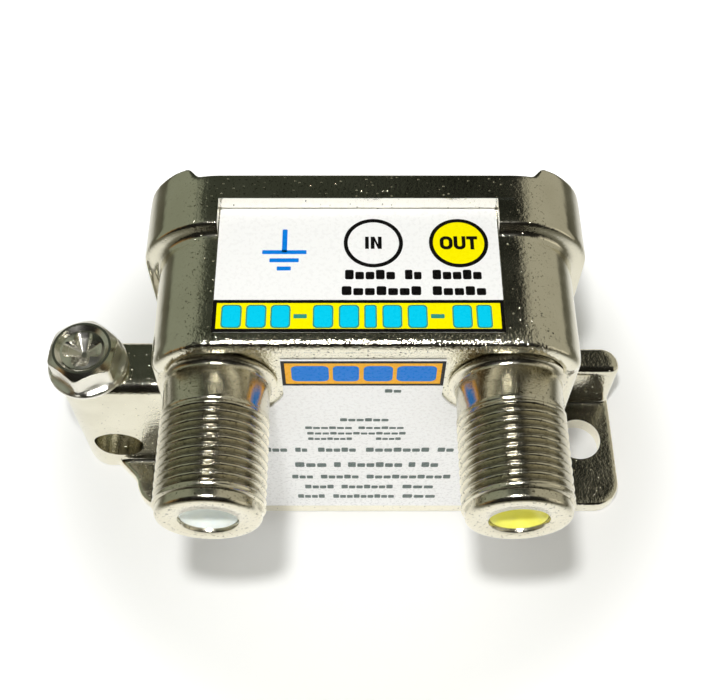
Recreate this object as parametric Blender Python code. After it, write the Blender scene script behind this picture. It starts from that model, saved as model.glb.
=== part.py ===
"""Coax lightning arrestor: a grounding block with two threaded coax ports.

A die-cast housing stands on its own mounting foot. Two turned ports enter the front wall, a ground
lug with its screw stands at the left, and the surge tube and the filter board sit inside, behind a
stamped cover plate. Lengths are in metres. The foot rests on z = 0, the body's middle is at x = 0
and y = 0, and the ports point along -y.
"""

import math

import bmesh
import bpy
from mathutils import Vector

MM = 0.001

# Clearances
FIT = 0.25 * MM
CUT_PAST = 1.0 * MM
CAST_STEP = 0.15 * MM

# Body casting
BODY_WIDTH = 37.1 * MM
BODY_HEIGHT = 37.2 * MM
BODY_DEPTH = 16.3 * MM
SHOULDER_RADIUS = 5.8 * MM
EDGE_RADIUS = 0.7 * MM
FRONT_WALL = 2.4 * MM
SIDE_WALL = 2.0 * MM
FLOOR_WALL = 2.5 * MM
BOARD_LEDGE = 1.6 * MM

# Raised rim that holds the cover plate
RIM_DEPTH = 5.7 * MM
RIM_TOP_RISE = 1.2 * MM
RIM_SIDE_RISE = 1.45 * MM
RIM_EDGE = 0.5 * MM
RIM_PAD_WIDTH = 1.4 * MM
RIM_PAD_DEPTH = 1.0 * MM
RIM_PAD_START = 19
RIM_PAD_SWEEP = 58

# Rolled lip along the top of the front wall
LIP_RADIUS = 1.1 * MM
LIP_STAND = 0.8 * MM
LIP_TAPER = 3.5 * MM

# Foot with its mounting hole and rear rib, measured out from the body's sides
FOOT_THICKNESS = 2.0 * MM
FOOT_RIGHT_STAND = 9.75 * MM
FOOT_LEFT_STAND = 6.4 * MM
FOOT_CORNER = 3.0 * MM
FLARE_REACH = 2.55 * MM
FLARE_DEPTH = 2.6 * MM
FOOT_REAR_SETBACK = 0.3 * MM
MOUNT_HOLE_DIAMETER = 4.9 * MM
MOUNT_HOLE_STAND = 5.8 * MM
MOUNT_HOLE_Y = -0.3 * MM
RIB_HEIGHT = 9.3 * MM
RIB_THICKNESS = 3.2 * MM
RIB_ROUND = 1.0 * MM
RIB_SETBACK = 0.5 * MM

# Ground lug and its screw, measured out from the body's left side
LUG_STAND = 12.6 * MM
LUG_THICKNESS = 6.2 * MM
LUG_HEIGHT = 18.0 * MM
LUG_CENTRE_Y = 0.35 * MM
LUG_ROUND = 1.5 * MM
WIRE_HOLE_DIAMETER = 5.3 * MM
WIRE_HOLE_STAND = 8.0 * MM
WIRE_HOLE_HEIGHT = 5.7 * MM
SCREW_DIAMETER = 4.17 * MM
SCREW_LENGTH = 9.5 * MM
SCREW_STAND = 9.05 * MM
SCREW_Y = 0.0 * MM
HEAD_FLATS = 6.35 * MM
HEAD_HEIGHT = 3.5 * MM
HEAD_BEVEL = 0.35 * MM
HEAD_TURN = 22
HEX_SIDE = 60
WASHER_DIAMETER = 7.9 * MM
WASHER_THICKNESS = 0.8 * MM
RECESS_LENGTH = 4.4 * MM
RECESS_WIDTH = 1.0 * MM
RECESS_DEPTH = 1.5 * MM

# Ports
PORT_SIDE_SPACE = 5.85 * MM
PORT_MIDDLE_X = -0.25 * MM
PORT_DROP = 7.5 * MM
PORT_LENGTH = 13.0 * MM
PORT_DIAMETER = 9.4 * MM
PORT_END_DIAMETER = 7.8 * MM
PORT_BEVEL = 0.55 * MM
NOSE_DIAMETER = 8.95 * MM
NOSE_LENGTH = 1.1 * MM
NECK_DIAMETER = 9.2 * MM
NECK_LENGTH = 3.9 * MM
PORT_MOUTH = 5.08 * MM
PORT_LIP = 0.9 * MM
PORT_BORE = 6.7 * MM
COLLAR_DIAMETER = 10.4 * MM
COLLAR_THICKNESS = 0.3 * MM
SPOT_FACE_DEPTH = 0.15 * MM
SHANK_DIAMETER = 9.0 * MM
SHANK_PAST_WALL = 0.6 * MM

# Insulator, contact and rear bead of a port
DISH_EDGE = 0.45 * MM
DISH_DEPTH = 0.9 * MM
GUIDE_HOLE = 1.2 * MM
GUIDE_LENGTH = 1.0 * MM
INSULATOR_END = 11.0 * MM
CONTACT_DIAMETER = 2.2 * MM
CONTACT_BORE = 1.3 * MM
CONTACT_BORE_LENGTH = 6.5 * MM
CONTACT_SLOT_LENGTH = 4.0 * MM
CONTACT_SLOT_WIDTH = 0.3 * MM
TAIL_DIAMETER = 0.9 * MM
TAIL_PAST_BOARD = 0.8 * MM
BEAD_THICKNESS = 3.3 * MM

# Circuit board and what is soldered to it
BOARD_THICKNESS = 1.2 * MM
BOARD_FRONT_SPACE = 6.2 * MM
COIL_COUNT = 4
COIL_TURNS = 5
COIL_PITCH = 5.6 * MM
COIL_RADIUS = 1.45 * MM
COIL_TURN_PITCH = 0.85 * MM
COIL_STANDOFF = 0.5 * MM
COIL_DROP = 5.7 * MM
WIRE_DIAMETER = 0.5 * MM
WIRE_PAST_BOARD = 0.5 * MM
CHIP_COUNT = 5
CHIP_LENGTH = 2.0 * MM
CHIP_WIDTH = 1.25 * MM
CHIP_THICKNESS = 0.9 * MM
CHIP_PITCH = 5.6 * MM
SHIELD_THICKNESS = 0.5 * MM
SHIELD_CLEARANCE = 1.0 * MM
SHIELD_TOP_RISE = 2.4 * MM
SPRING_THICKNESS = 0.3 * MM
SPRING_WIDTH = 3.0 * MM
SPRING_FOOT = 3.0 * MM
SPRING_SPAN = 9.0 * MM
SPRING_RISE = 5.5 * MM

# Surge tube in front of the board
TUBE_DIAMETER = 5.0 * MM
TUBE_LENGTH = 5.4 * MM
TUBE_WALL = 0.8 * MM
TUBE_RISE = 8.5 * MM
CAP_DIAMETER = 4.6 * MM
CAP_THICKNESS = 0.6 * MM
LEAD_REACH = 2.2 * MM
LEAD_DIAMETER = 0.8 * MM
LEAD_BEND = 1.0 * MM

# Cover plate
COVER_THICKNESS = 1.0 * MM
COVER_SEAT = 1.0 * MM
COVER_CORNER = 2.0 * MM

# Labels
LABEL_THICKNESS = 0.2 * MM
TOP_LABEL_SIDE_SPACE = 6.45 * MM
TOP_LABEL_DEPTH = 12.8 * MM
TOP_LABEL_SETBACK = 0.5 * MM
TOP_LABEL_X = -0.55 * MM
LABEL_MARGIN = 0.4 * MM
RECESS_FLOOR = 0.5 * MM
FRONT_LABEL_PAST_PORT = 2.3 * MM
FRONT_LABEL_BASE = 1.4 * MM
BAND_PORT_SPACE = 5.65 * MM
BAND_TOP_RISE = 4.4 * MM
PORT_CLEAR_RADIUS = 5.9 * MM

# Facets on round shapes
ROUND_STEPS = 48
CORNER_STEPS = 6
SMALL_STEPS = 16
BARREL_STEPS = 40
COIL_STEPS = 10

# Places that follow from the sizes
FRONT_Y = -BODY_DEPTH / 2
BACK_Y = BODY_DEPTH / 2
RIM_Y = BACK_Y - RIM_DEPTH
HALF_WIDTH = BODY_WIDTH / 2
FOOT_RIGHT_REACH = HALF_WIDTH + FOOT_RIGHT_STAND
FOOT_LEFT_REACH = HALF_WIDTH + FOOT_LEFT_STAND
MOUNT_HOLE_X = HALF_WIDTH + MOUNT_HOLE_STAND
LUG_REACH = HALF_WIDTH + LUG_STAND
WIRE_HOLE_X = -HALF_WIDTH - WIRE_HOLE_STAND
SCREW_X = -HALF_WIDTH - SCREW_STAND
PORT_PITCH = BODY_WIDTH - 2 * PORT_SIDE_SPACE
TOP_LABEL_WIDTH = BODY_WIDTH - 2 * TOP_LABEL_SIDE_SPACE
FRONT_LABEL_WIDTH = PORT_PITCH + 2 * FRONT_LABEL_PAST_PORT
BAND_WIDTH = PORT_PITCH - 2 * BAND_PORT_SPACE
LEDGE_Y = FRONT_Y + FRONT_WALL + BOARD_FRONT_SPACE
BOARD_FRONT_Y = LEDGE_Y + FIT
BOARD_BACK_Y = BOARD_FRONT_Y + BOARD_THICKNESS
SEAT_Y = BACK_Y - COVER_THICKNESS - FIT
PORT_END_Y = FRONT_Y - PORT_LENGTH
CAVITY_HALF = HALF_WIDTH - SIDE_WALL
CAVITY_TOP = BODY_HEIGHT - RECESS_FLOOR - SIDE_WALL
PORT_HEIGHT = BODY_HEIGHT - PORT_DROP
TUBE_HEIGHT = FLOOR_WALL + TUBE_RISE
SPRING_HEIGHT = FLOOR_WALL + SPRING_RISE
COIL_HEIGHT = PORT_HEIGHT - COIL_DROP
CHIP_HEIGHT = (TUBE_HEIGHT + COIL_HEIGHT) / 2
SHIELD_BASE = CHIP_HEIGHT + CHIP_LENGTH / 2 + SHIELD_CLEARANCE
SHIELD_TOP = PORT_HEIGHT + SHIELD_TOP_RISE
COIL_Y = BOARD_BACK_Y + COIL_STANDOFF + WIRE_DIAMETER / 2 + COIL_RADIUS
TUBE_Y = (FRONT_Y + FRONT_WALL + BOARD_FRONT_Y) / 2
PORTS = {"in": PORT_MIDDLE_X - PORT_PITCH / 2, "out": PORT_MIDDLE_X + PORT_PITCH / 2}


def clear_scene():
    for old in list(bpy.data.objects):
        bpy.data.objects.remove(old, do_unlink=True)


def material(name, colour, roughness, metallic):
    made = bpy.data.materials.get(name) or bpy.data.materials.new(name)
    made.use_nodes = True
    shader = made.node_tree.nodes["Principled BSDF"]
    shader.inputs["Base Color"].default_value = (*colour, 1.0)
    shader.inputs["Roughness"].default_value = roughness
    shader.inputs["Metallic"].default_value = metallic
    return made


def finish_mesh(name, mesh_data, finish, sharp_angle=35):
    bmesh.ops.recalc_face_normals(mesh_data, faces=mesh_data.faces)
    mesh = bpy.data.meshes.new(name)
    mesh_data.to_mesh(mesh)
    mesh_data.free()
    mesh.shade_smooth()
    mesh.set_sharp_from_angle(angle=math.radians(sharp_angle))
    made = bpy.data.objects.new(name, mesh)
    bpy.context.scene.collection.objects.link(made)
    if finish:
        mesh.materials.append(finish)
    return made


def loft(rings, closed=False):
    """Solid through rings of equal point count; closed joins the last ring to the first."""
    data = bmesh.new()
    made = [[data.verts.new(point) for point in ring] for ring in rings]
    pairs = list(zip(made, made[1:]))
    if closed:
        pairs.append((made[-1], made[0]))
    count = len(made[0])
    for near, far in pairs:
        for i in range(count):
            j = (i + 1) % count
            data.faces.new((near[i], near[j], far[j], far[i]))
    if not closed:
        data.faces.new(made[0])
        data.faces.new(made[-1])
    return data


def prism(outline, place, low, high):
    """Solid between two levels of a flat outline; place turns (a, b, level) into a point."""
    return loft([[place(a, b, level) for a, b in outline] for level in (low, high)])


def on_front(x, z, level):
    return (x, level, z)


def on_floor(x, y, level):
    return (x, y, level)


def on_side(y, z, level):
    return (level, y, z)


def arc(centre_a, centre_b, radius, start, end, steps):
    """Points of an arc, angles in degrees, both ends included."""
    points = []
    for i in range(steps + 1):
        angle = math.radians(start + (end - start) * i / steps)
        points.append((centre_a + radius * math.cos(angle), centre_b + radius * math.sin(angle)))
    return points


def circle(centre_a, centre_b, radius, steps=ROUND_STEPS):
    return arc(centre_a, centre_b, radius, 0, 360, steps)[:-1]


def rounded(corners, steps=CORNER_STEPS):
    """Outline through (a, b, radius) corners, each turned into a tangent arc."""
    outline = []
    for i, (a, b, radius) in enumerate(corners):
        here = Vector((a, b))
        before = (Vector(corners[i - 1][:2]) - here).normalized()
        after = (Vector(corners[(i + 1) % len(corners)][:2]) - here).normalized()
        if radius <= 0:
            outline.append((a, b))
            continue
        half = before.angle(after) / 2
        middle = here + (before + after).normalized() * (radius / math.sin(half))
        first = here + before * (radius / math.tan(half)) - middle
        last = here + after * (radius / math.tan(half)) - middle
        turn = first.angle_signed(last)
        for k in range(steps + 1):
            angle = -turn * k / steps
            spoke = Vector((first.x * math.cos(angle) - first.y * math.sin(angle),
                            first.x * math.sin(angle) + first.y * math.cos(angle)))
            outline.append(tuple(middle + spoke))
    return outline


def box_outline(low_a, low_b, high_a, high_b, radius=0.0):
    return rounded([(low_a, low_b, radius), (high_a, low_b, radius),
                    (high_a, high_b, radius), (low_a, high_b, radius)])


def turned(profile, centre_x, centre_z, steps=ROUND_STEPS):
    """Ring turned about an axis along y, from a closed profile of (radius, y) points."""
    rings = []
    for radius, y in profile:
        rings.append([(x, y, z) for x, z in circle(centre_x, centre_z, radius, steps)])
    return loft(rings, closed=True)


def swept(path, radius, sides):
    """Round wire along a list of points."""
    rings = []
    side = None
    for i, point in enumerate(path):
        ahead = path[min(i + 1, len(path) - 1)] - path[max(i - 1, 0)]
        ahead.normalize()
        if side is None:
            side = ahead.orthogonal().normalized()
        side = (side - ahead * side.dot(ahead)).normalized()
        other = ahead.cross(side)
        rings.append([point + side * (radius * c) + other * (radius * s)
                      for c, s in circle(0, 0, 1, sides)])
    return loft(rings)


def hidden(tool):
    tool.hide_render = True
    tool.display_type = "WIRE"
    return tool


def combine(target, operation, tools):
    """Add one Boolean for each tool; every tool is (name, mesh data)."""
    for name, data in tools:
        step = target.modifiers.new(name, "BOOLEAN")
        step.operation = operation
        step.object = hidden(finish_mesh(name, data, None))


def body_outline(inset, rim_share):
    """Arch-shaped outline of the body, let into the foot; rim_share 1 is the full raised rim."""
    half = HALF_WIDTH - inset + rim_share * RIM_SIDE_RISE
    top = BODY_HEIGHT - inset + rim_share * RIM_TOP_RISE
    shoulder = SHOULDER_RADIUS - inset + rim_share * RIM_TOP_RISE
    base = FOOT_THICKNESS / 2
    return rounded([(-half, base, 0), (half, base, 0), (half, top, shoulder), (-half, top, shoulder)])


def body_solid():
    """Body lofted from front to back, with its soft edges and its raised rim."""
    stations = [(FRONT_Y, EDGE_RADIUS, 0), (FRONT_Y + EDGE_RADIUS * 0.3, EDGE_RADIUS * 0.3, 0),
                (FRONT_Y + EDGE_RADIUS, 0, 0), (RIM_Y - RIM_EDGE, 0, 0),
                (RIM_Y - RIM_EDGE * 0.3, 0, 0.15), (RIM_Y, 0, 0.5),
                (RIM_Y + RIM_EDGE * 0.3, 0, 0.85), (RIM_Y + RIM_EDGE, 0, 1),
                (BACK_Y - RIM_EDGE, 0, 1), (BACK_Y, RIM_EDGE, 1)]
    rings = []
    for y, inset, rim_share in stations:
        rings.append([on_front(x, z, y) for x, z in body_outline(inset, rim_share)])
    return loft(rings)


def lip_solid():
    """Rolled lip over the ports, thinning out as it runs down both sides."""
    inset = LIP_RADIUS
    corner = SHOULDER_RADIUS - inset
    half = HALF_WIDTH - inset
    top = BODY_HEIGHT - inset
    start = PORT_HEIGHT
    drop = (top - corner) - start
    left = [(-half, start + drop * k / 4) for k in range(4)]
    bend_left = arc(-half + corner, top - corner, corner, 180, 90, CORNER_STEPS)
    bend_right = arc(half - corner, top - corner, corner, 90, 0, CORNER_STEPS)
    right = [(half, start + drop * k / 4) for k in range(3, -1, -1)]
    route = left + bend_left + bend_right + right
    centre_y = FRONT_Y - LIP_STAND + LIP_RADIUS
    rings = []
    for i, (x, z) in enumerate(route):
        ahead = Vector(route[min(i + 1, len(route) - 1)]) - Vector(route[max(i - 1, 0)])
        ahead.normalize()
        outward = Vector((-ahead.y, ahead.x))
        full = min(1.0, (z - start) / LIP_TAPER)
        back = LIP_STAND * (1 - full)
        ring = []
        for c, s in circle(0, 0, LIP_RADIUS, 12):
            push = outward * (c - back)
            ring.append((x + push.x, centre_y + back * 1.2 + s, z + push.y))
        rings.append(ring)
    return loft(rings)


def foot_outline():
    """Foot's outline, flared out at the left until it carries the lug."""
    lug_edge = -LUG_REACH + CAST_STEP
    lug_front = LUG_CENTRE_Y - LUG_THICKNESS / 2 + CAST_STEP
    lug_round = LUG_THICKNESS / 2 - CAST_STEP
    front = FRONT_Y - CAST_STEP
    back = BACK_Y - FOOT_REAR_SETBACK
    return rounded([(-FOOT_LEFT_REACH, front, FOOT_CORNER), (FOOT_RIGHT_REACH, front, FOOT_CORNER),
                    (FOOT_RIGHT_REACH, back, FOOT_CORNER), (lug_edge, back, FOOT_CORNER),
                    (lug_edge, lug_front, lug_round),
                    (-FOOT_LEFT_REACH - FLARE_REACH, lug_front, FOOT_CORNER * 0.2),
                    (-FOOT_LEFT_REACH, lug_front - FLARE_DEPTH, FOOT_CORNER * 0.6)])


def rounded_top(outline_at, base, top, round_off):
    """Post whose upper edge is rounded off; outline_at gives the outline for an inset."""
    levels = [(base, 0), (top - round_off, 0), (top - round_off * 0.5, round_off * 0.13),
              (top - round_off * 0.13, round_off * 0.5), (top, round_off)]
    return loft([[on_floor(x, y, z) for x, y in outline_at(inset)] for z, inset in levels])


def lug_outline(inset):
    radius = LUG_THICKNESS / 2 - inset
    centre = -LUG_REACH + LUG_THICKNESS / 2
    inner = -CAVITY_HALF - SIDE_WALL / 2
    end = arc(centre, LUG_CENTRE_Y, radius, 270, 90, 2 * CORNER_STEPS)
    return end + [(inner, LUG_CENTRE_Y + radius), (inner, LUG_CENTRE_Y - radius)]


def rib_outline(inset):
    inner = CAVITY_HALF + SIDE_WALL / 2
    front = BACK_Y - RIB_SETBACK - RIB_THICKNESS + inset
    back = BACK_Y - RIB_SETBACK - inset
    right = FOOT_RIGHT_REACH - inset
    return rounded([(inner, front, 0), (right, front, RIB_ROUND * 1.05 - inset),
                    (right, back, RIB_ROUND * 2 - inset), (inner, back, 0)])


def pad_solid(side):
    """Small pad that stands behind a top corner of the rim."""
    corner = SHOULDER_RADIUS + RIM_TOP_RISE
    half = HALF_WIDTH + RIM_SIDE_RISE
    top = BODY_HEIGHT + RIM_TOP_RISE
    centre = (side * (half - corner), top - corner)
    steps = CORNER_STEPS * 2
    start = 90 - side * RIM_PAD_START
    end = start - side * RIM_PAD_SWEEP
    outer = arc(*centre, corner - RIM_EDGE, start, end, steps)
    inner = arc(*centre, corner - RIM_EDGE - RIM_PAD_WIDTH, end, start, steps)
    return prism(outer + inner, on_front, BACK_Y - RIM_EDGE, BACK_Y + RIM_PAD_DEPTH)


def cavity_tools():
    inner = CAVITY_HALF - BOARD_LEDGE
    inner_low = FLOOR_WALL + BOARD_LEDGE
    inner_top = CAVITY_TOP - BOARD_LEDGE
    front = FRONT_Y + FRONT_WALL
    component_space = prism(box_outline(-inner, inner_low, inner, inner_top, COVER_CORNER),
                            on_front, front, LEDGE_Y + CUT_PAST)
    board_space = prism(box_outline(-CAVITY_HALF, FLOOR_WALL, CAVITY_HALF, CAVITY_TOP, COVER_CORNER),
                        on_front, LEDGE_Y, SEAT_Y + CUT_PAST)
    seat = prism(cover_outline(0), on_front, SEAT_Y, BACK_Y + RIM_PAD_DEPTH + CUT_PAST)
    return [("component_space", component_space), ("board_space", board_space), ("cover_seat", seat)]


def cover_outline(inset):
    half = CAVITY_HALF + COVER_SEAT - inset
    low = FLOOR_WALL - COVER_SEAT + inset
    top = CAVITY_TOP + COVER_SEAT - inset
    return box_outline(-half, low, half, top, COVER_CORNER)


def label_recess():
    half = TOP_LABEL_WIDTH / 2 + LABEL_MARGIN
    front = FRONT_Y + TOP_LABEL_SETBACK - LABEL_MARGIN
    back = FRONT_Y + TOP_LABEL_SETBACK + TOP_LABEL_DEPTH + LABEL_MARGIN
    outline = box_outline(TOP_LABEL_X - half, front, TOP_LABEL_X + half, back, LABEL_MARGIN)
    top = BODY_HEIGHT + RIM_TOP_RISE + CUT_PAST
    return prism(outline, on_floor, BODY_HEIGHT - RECESS_FLOOR, top)


def housing():
    """One casting: body, rim, lip, foot, rib and ground lug, hollow from the back."""
    nickel = material("nickel_plated_zinc", (0.62, 0.60, 0.56), 0.28, 1.0)
    made = finish_mesh("housing", body_solid(), nickel)
    foot = prism(foot_outline(), on_floor, 0, FOOT_THICKNESS)
    rib = rounded_top(rib_outline, FOOT_THICKNESS / 2, RIB_HEIGHT, RIB_ROUND)
    lug = rounded_top(lug_outline, CAST_STEP, LUG_HEIGHT, LUG_ROUND)
    combine(made, "UNION", [("foot_tool", foot), ("rib_tool", rib), ("lug_tool", lug),
                            ("lip_tool", lip_solid()), ("pad_left_tool", pad_solid(-1)),
                            ("pad_right_tool", pad_solid(1))])
    combine(made, "DIFFERENCE", cavity_tools())
    combine(made, "DIFFERENCE", [("label_recess", label_recess())])
    for name, x in PORTS.items():
        hole = circle(x, PORT_HEIGHT, SHANK_DIAMETER / 2 + FIT)
        cut = prism(hole, on_front, FRONT_Y - LIP_STAND - CUT_PAST, FRONT_Y + FRONT_WALL + CUT_PAST)
        face = circle(x, PORT_HEIGHT, COLLAR_DIAMETER / 2 + FIT)
        spot = prism(face, on_front, FRONT_Y - LIP_STAND - CUT_PAST, FRONT_Y + SPOT_FACE_DEPTH)
        combine(made, "DIFFERENCE", [("spot_face_" + name, spot), ("port_hole_" + name, cut)])
    mount = prism(circle(MOUNT_HOLE_X, MOUNT_HOLE_Y, MOUNT_HOLE_DIAMETER / 2), on_floor,
                  -CUT_PAST, FOOT_THICKNESS + CUT_PAST)
    wire = prism(circle(WIRE_HOLE_X, WIRE_HOLE_HEIGHT, WIRE_HOLE_DIAMETER / 2), on_front,
                 LUG_CENTRE_Y - LUG_THICKNESS, LUG_CENTRE_Y + LUG_THICKNESS)
    tapped = prism(circle(SCREW_X, SCREW_Y, SCREW_DIAMETER / 2 + FIT), on_floor,
                   WIRE_HOLE_HEIGHT, LUG_HEIGHT + CUT_PAST)
    combine(made, "DIFFERENCE", [("mount_hole", mount), ("wire_hole", wire), ("screw_hole", tapped)])
    return made


def cover_plate():
    """Stamped plate that closes the back, flush in its seat."""
    tinned = material("tinned_steel", (0.58, 0.58, 0.57), 0.38, 1.0)
    plate = prism(cover_outline(FIT), on_front, SEAT_Y + FIT, BACK_Y)
    return finish_mesh("cover_plate", plate, tinned)


def port_barrel(name, x):
    """Turned barrel pressed through the front wall, its neck flaring into a collar on the wall."""
    brass = material("nickel_plated_brass", (0.66, 0.63, 0.58), 0.2, 1.0)
    collar_back = FRONT_Y + SPOT_FACE_DEPTH - FIT
    collar_front = collar_back - COLLAR_THICKNESS
    rear = FRONT_Y + FRONT_WALL + SHANK_PAST_WALL
    neck = NECK_DIAMETER / 2
    flare = (COLLAR_DIAMETER - NECK_DIAMETER) / 2
    rounding = (NOSE_DIAMETER - PORT_END_DIAMETER) / 2
    middle = (PORT_END_DIAMETER / 2 + rounding * 0.7, PORT_END_Y + PORT_BEVEL * 0.3)
    profile = [(PORT_MOUTH / 2, PORT_END_Y), (PORT_END_DIAMETER / 2, PORT_END_Y), middle,
               (NOSE_DIAMETER / 2, PORT_END_Y + PORT_BEVEL), (NOSE_DIAMETER / 2, PORT_END_Y + NOSE_LENGTH),
               (PORT_DIAMETER / 2, PORT_END_Y + NOSE_LENGTH), (PORT_DIAMETER / 2, FRONT_Y - NECK_LENGTH),
               (neck, FRONT_Y - NECK_LENGTH)]
    profile += arc(neck + flare, collar_front - flare, flare, 180, 90, 3)
    profile += [(COLLAR_DIAMETER / 2, collar_back), (SHANK_DIAMETER / 2, collar_back),
                (SHANK_DIAMETER / 2, rear), (PORT_BORE / 2, rear),
                (PORT_BORE / 2, PORT_END_Y + PORT_LIP), (PORT_MOUTH / 2, PORT_END_Y + PORT_LIP)]
    return finish_mesh("port_barrel_" + name, turned(profile, x, PORT_HEIGHT, BARREL_STEPS), brass)


def insulator(name, x, finish):
    """Moulded insulator behind the mouth, dished round its guide hole."""
    mouth = PORT_MOUTH / 2 - FIT
    body = PORT_BORE / 2 - FIT
    bore = CONTACT_DIAMETER / 2 + FIT
    guide_start = PORT_END_Y + DISH_EDGE + DISH_DEPTH
    guide_end = guide_start + GUIDE_LENGTH
    step = PORT_END_Y + PORT_LIP + FIT
    end = PORT_END_Y + INSULATOR_END
    dish = []
    for k in range(5):
        share = k / 4
        dish.append((GUIDE_HOLE / 2 + (mouth - GUIDE_HOLE / 2) * share,
                     guide_start - DISH_DEPTH * share ** 2))
    profile = dish + [(mouth, step), (body, step), (body, end), (bore, end), (bore, guide_end),
                      (GUIDE_HOLE / 2, guide_end)]
    return finish_mesh("insulator_" + name, turned(profile, x, PORT_HEIGHT, 32), finish)


def contact(name, x):
    """Slotted spring tube that grips the cable's wire, with its tail through the board."""
    bronze = material("spring_bronze", (0.78, 0.55, 0.30), 0.25, 1.0)
    start = PORT_END_Y + DISH_EDGE + DISH_DEPTH + GUIDE_LENGTH + FIT
    shoulder = PORT_END_Y + INSULATOR_END
    tail_end = BOARD_BACK_Y + TAIL_PAST_BOARD
    bore_end = start + CONTACT_BORE_LENGTH
    stations = [(CONTACT_BORE / 2, bore_end), (CONTACT_BORE / 2, start), (CONTACT_DIAMETER / 2, start),
                (CONTACT_DIAMETER / 2, shoulder), (TAIL_DIAMETER / 2, shoulder),
                (TAIL_DIAMETER / 2, tail_end)]
    rings = [[(a, y, b) for a, b in circle(x, PORT_HEIGHT, radius, SMALL_STEPS)]
             for radius, y in stations]
    made = finish_mesh("contact_" + name, loft(rings), bronze)
    half_slot = CONTACT_SLOT_WIDTH / 2
    reach = CONTACT_DIAMETER
    slot_end = start + CONTACT_SLOT_LENGTH
    upright = prism(box_outline(x - half_slot, PORT_HEIGHT - reach, x + half_slot, PORT_HEIGHT + reach),
                    on_front, start - CUT_PAST, slot_end)
    level = prism(box_outline(x - reach, PORT_HEIGHT - half_slot, x + reach, PORT_HEIGHT + half_slot),
                  on_front, start - CUT_PAST, slot_end)
    combine(made, "DIFFERENCE", [("slot_upright_" + name, upright), ("slot_level_" + name, level)])
    return made


def rear_bead(name, x):
    """Bead that closes the back of the barrel round the contact's tail."""
    white = material("bead_ptfe", (0.86, 0.86, 0.84), 0.45, 0.0)
    start = PORT_END_Y + INSULATOR_END + FIT
    end = start + BEAD_THICKNESS
    outer = PORT_BORE / 2 - FIT
    inner = TAIL_DIAMETER / 2 + FIT
    profile = [(inner, start), (outer, start), (outer, end), (inner, end)]
    return finish_mesh("rear_bead_" + name, turned(profile, x, PORT_HEIGHT, 32), white)


def coil_places():
    """Centre x of each filter coil, spread evenly about the middle."""
    return [(i - (COIL_COUNT - 1) / 2) * COIL_PITCH for i in range(COIL_COUNT)]


def coil_ends():
    """Heights at which a coil's two wires go through the board."""
    half = COIL_TURNS * COIL_TURN_PITCH / 2
    return COIL_HEIGHT - half, COIL_HEIGHT + half


def lead_place(side):
    return side * (TUBE_LENGTH / 2 + CAP_THICKNESS + LEAD_REACH)


def circuit_board():
    """Board that rests on the ledge inside the housing, drilled for every wire."""
    laminate = material("board_laminate", (0.05, 0.25, 0.12), 0.4, 0.0)
    half = CAVITY_HALF - FIT
    outline = box_outline(-half, FLOOR_WALL + FIT, half, CAVITY_TOP - FIT, COVER_CORNER)
    made = finish_mesh("circuit_board", prism(outline, on_front, BOARD_FRONT_Y, BOARD_BACK_Y), laminate)
    holes = [(x, PORT_HEIGHT, TAIL_DIAMETER / 2 + FIT) for x in PORTS.values()]
    holes += [(x, z, WIRE_DIAMETER / 2 + FIT) for x in coil_places() for z in coil_ends()]
    holes += [(lead_place(side), TUBE_HEIGHT, LEAD_DIAMETER / 2 + FIT) for side in (-1, 1)]
    cuts = []
    for i, (x, z, radius) in enumerate(holes):
        drill = prism(circle(x, z, radius, SMALL_STEPS), on_front,
                      BOARD_FRONT_Y - CUT_PAST, BOARD_BACK_Y + CUT_PAST)
        cuts.append(("board_hole_%02d" % i, drill))
    combine(made, "DIFFERENCE", cuts)
    return made


def filter_coil(number, x):
    """Air-wound coil standing off the board, its wires bent straight into the board."""
    copper = material("enamelled_copper", (0.72, 0.32, 0.16), 0.25, 1.0)
    low, high = coil_ends()
    wire_end = BOARD_FRONT_Y - WIRE_PAST_BOARD
    path = [Vector((x, wire_end, low)), Vector((x, COIL_Y - COIL_RADIUS - WIRE_DIAMETER, low))]
    steps = COIL_TURNS * COIL_STEPS
    for i in range(1, steps):
        angle = 2 * math.pi * i / COIL_STEPS - math.pi / 2
        path.append(Vector((x + COIL_RADIUS * math.cos(angle), COIL_Y + COIL_RADIUS * math.sin(angle),
                            low + (high - low) * i / steps)))
    path += [Vector((x, COIL_Y - COIL_RADIUS - WIRE_DIAMETER, high)), Vector((x, wire_end, high))]
    return finish_mesh("filter_coil_%d" % number, swept(path, WIRE_DIAMETER / 2, 6), copper)


def chip_capacitor(number, x):
    """Ceramic chip soldered flat on the board."""
    ceramic = material("chip_ceramic", (0.55, 0.42, 0.28), 0.5, 0.0)
    outline = box_outline(x - CHIP_WIDTH / 2, CHIP_HEIGHT - CHIP_LENGTH / 2,
                          x + CHIP_WIDTH / 2, CHIP_HEIGHT + CHIP_LENGTH / 2, CHIP_WIDTH * 0.08)
    front = BOARD_BACK_Y + FIT
    chip = prism(outline, on_front, front, front + CHIP_THICKNESS)
    return finish_mesh("chip_capacitor_%d" % number, chip, ceramic)


def shield_partition():
    """Sheet-metal wall between the two halves of the filter."""
    tinned = material("tinned_steel", (0.58, 0.58, 0.57), 0.38, 1.0)
    outline = box_outline(BOARD_BACK_Y + FIT, SHIELD_BASE, SEAT_Y - FIT, SHIELD_TOP, SHIELD_THICKNESS)
    half = SHIELD_THICKNESS / 2
    return finish_mesh("shield_partition", prism(outline, on_side, -half, half), tinned)


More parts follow.
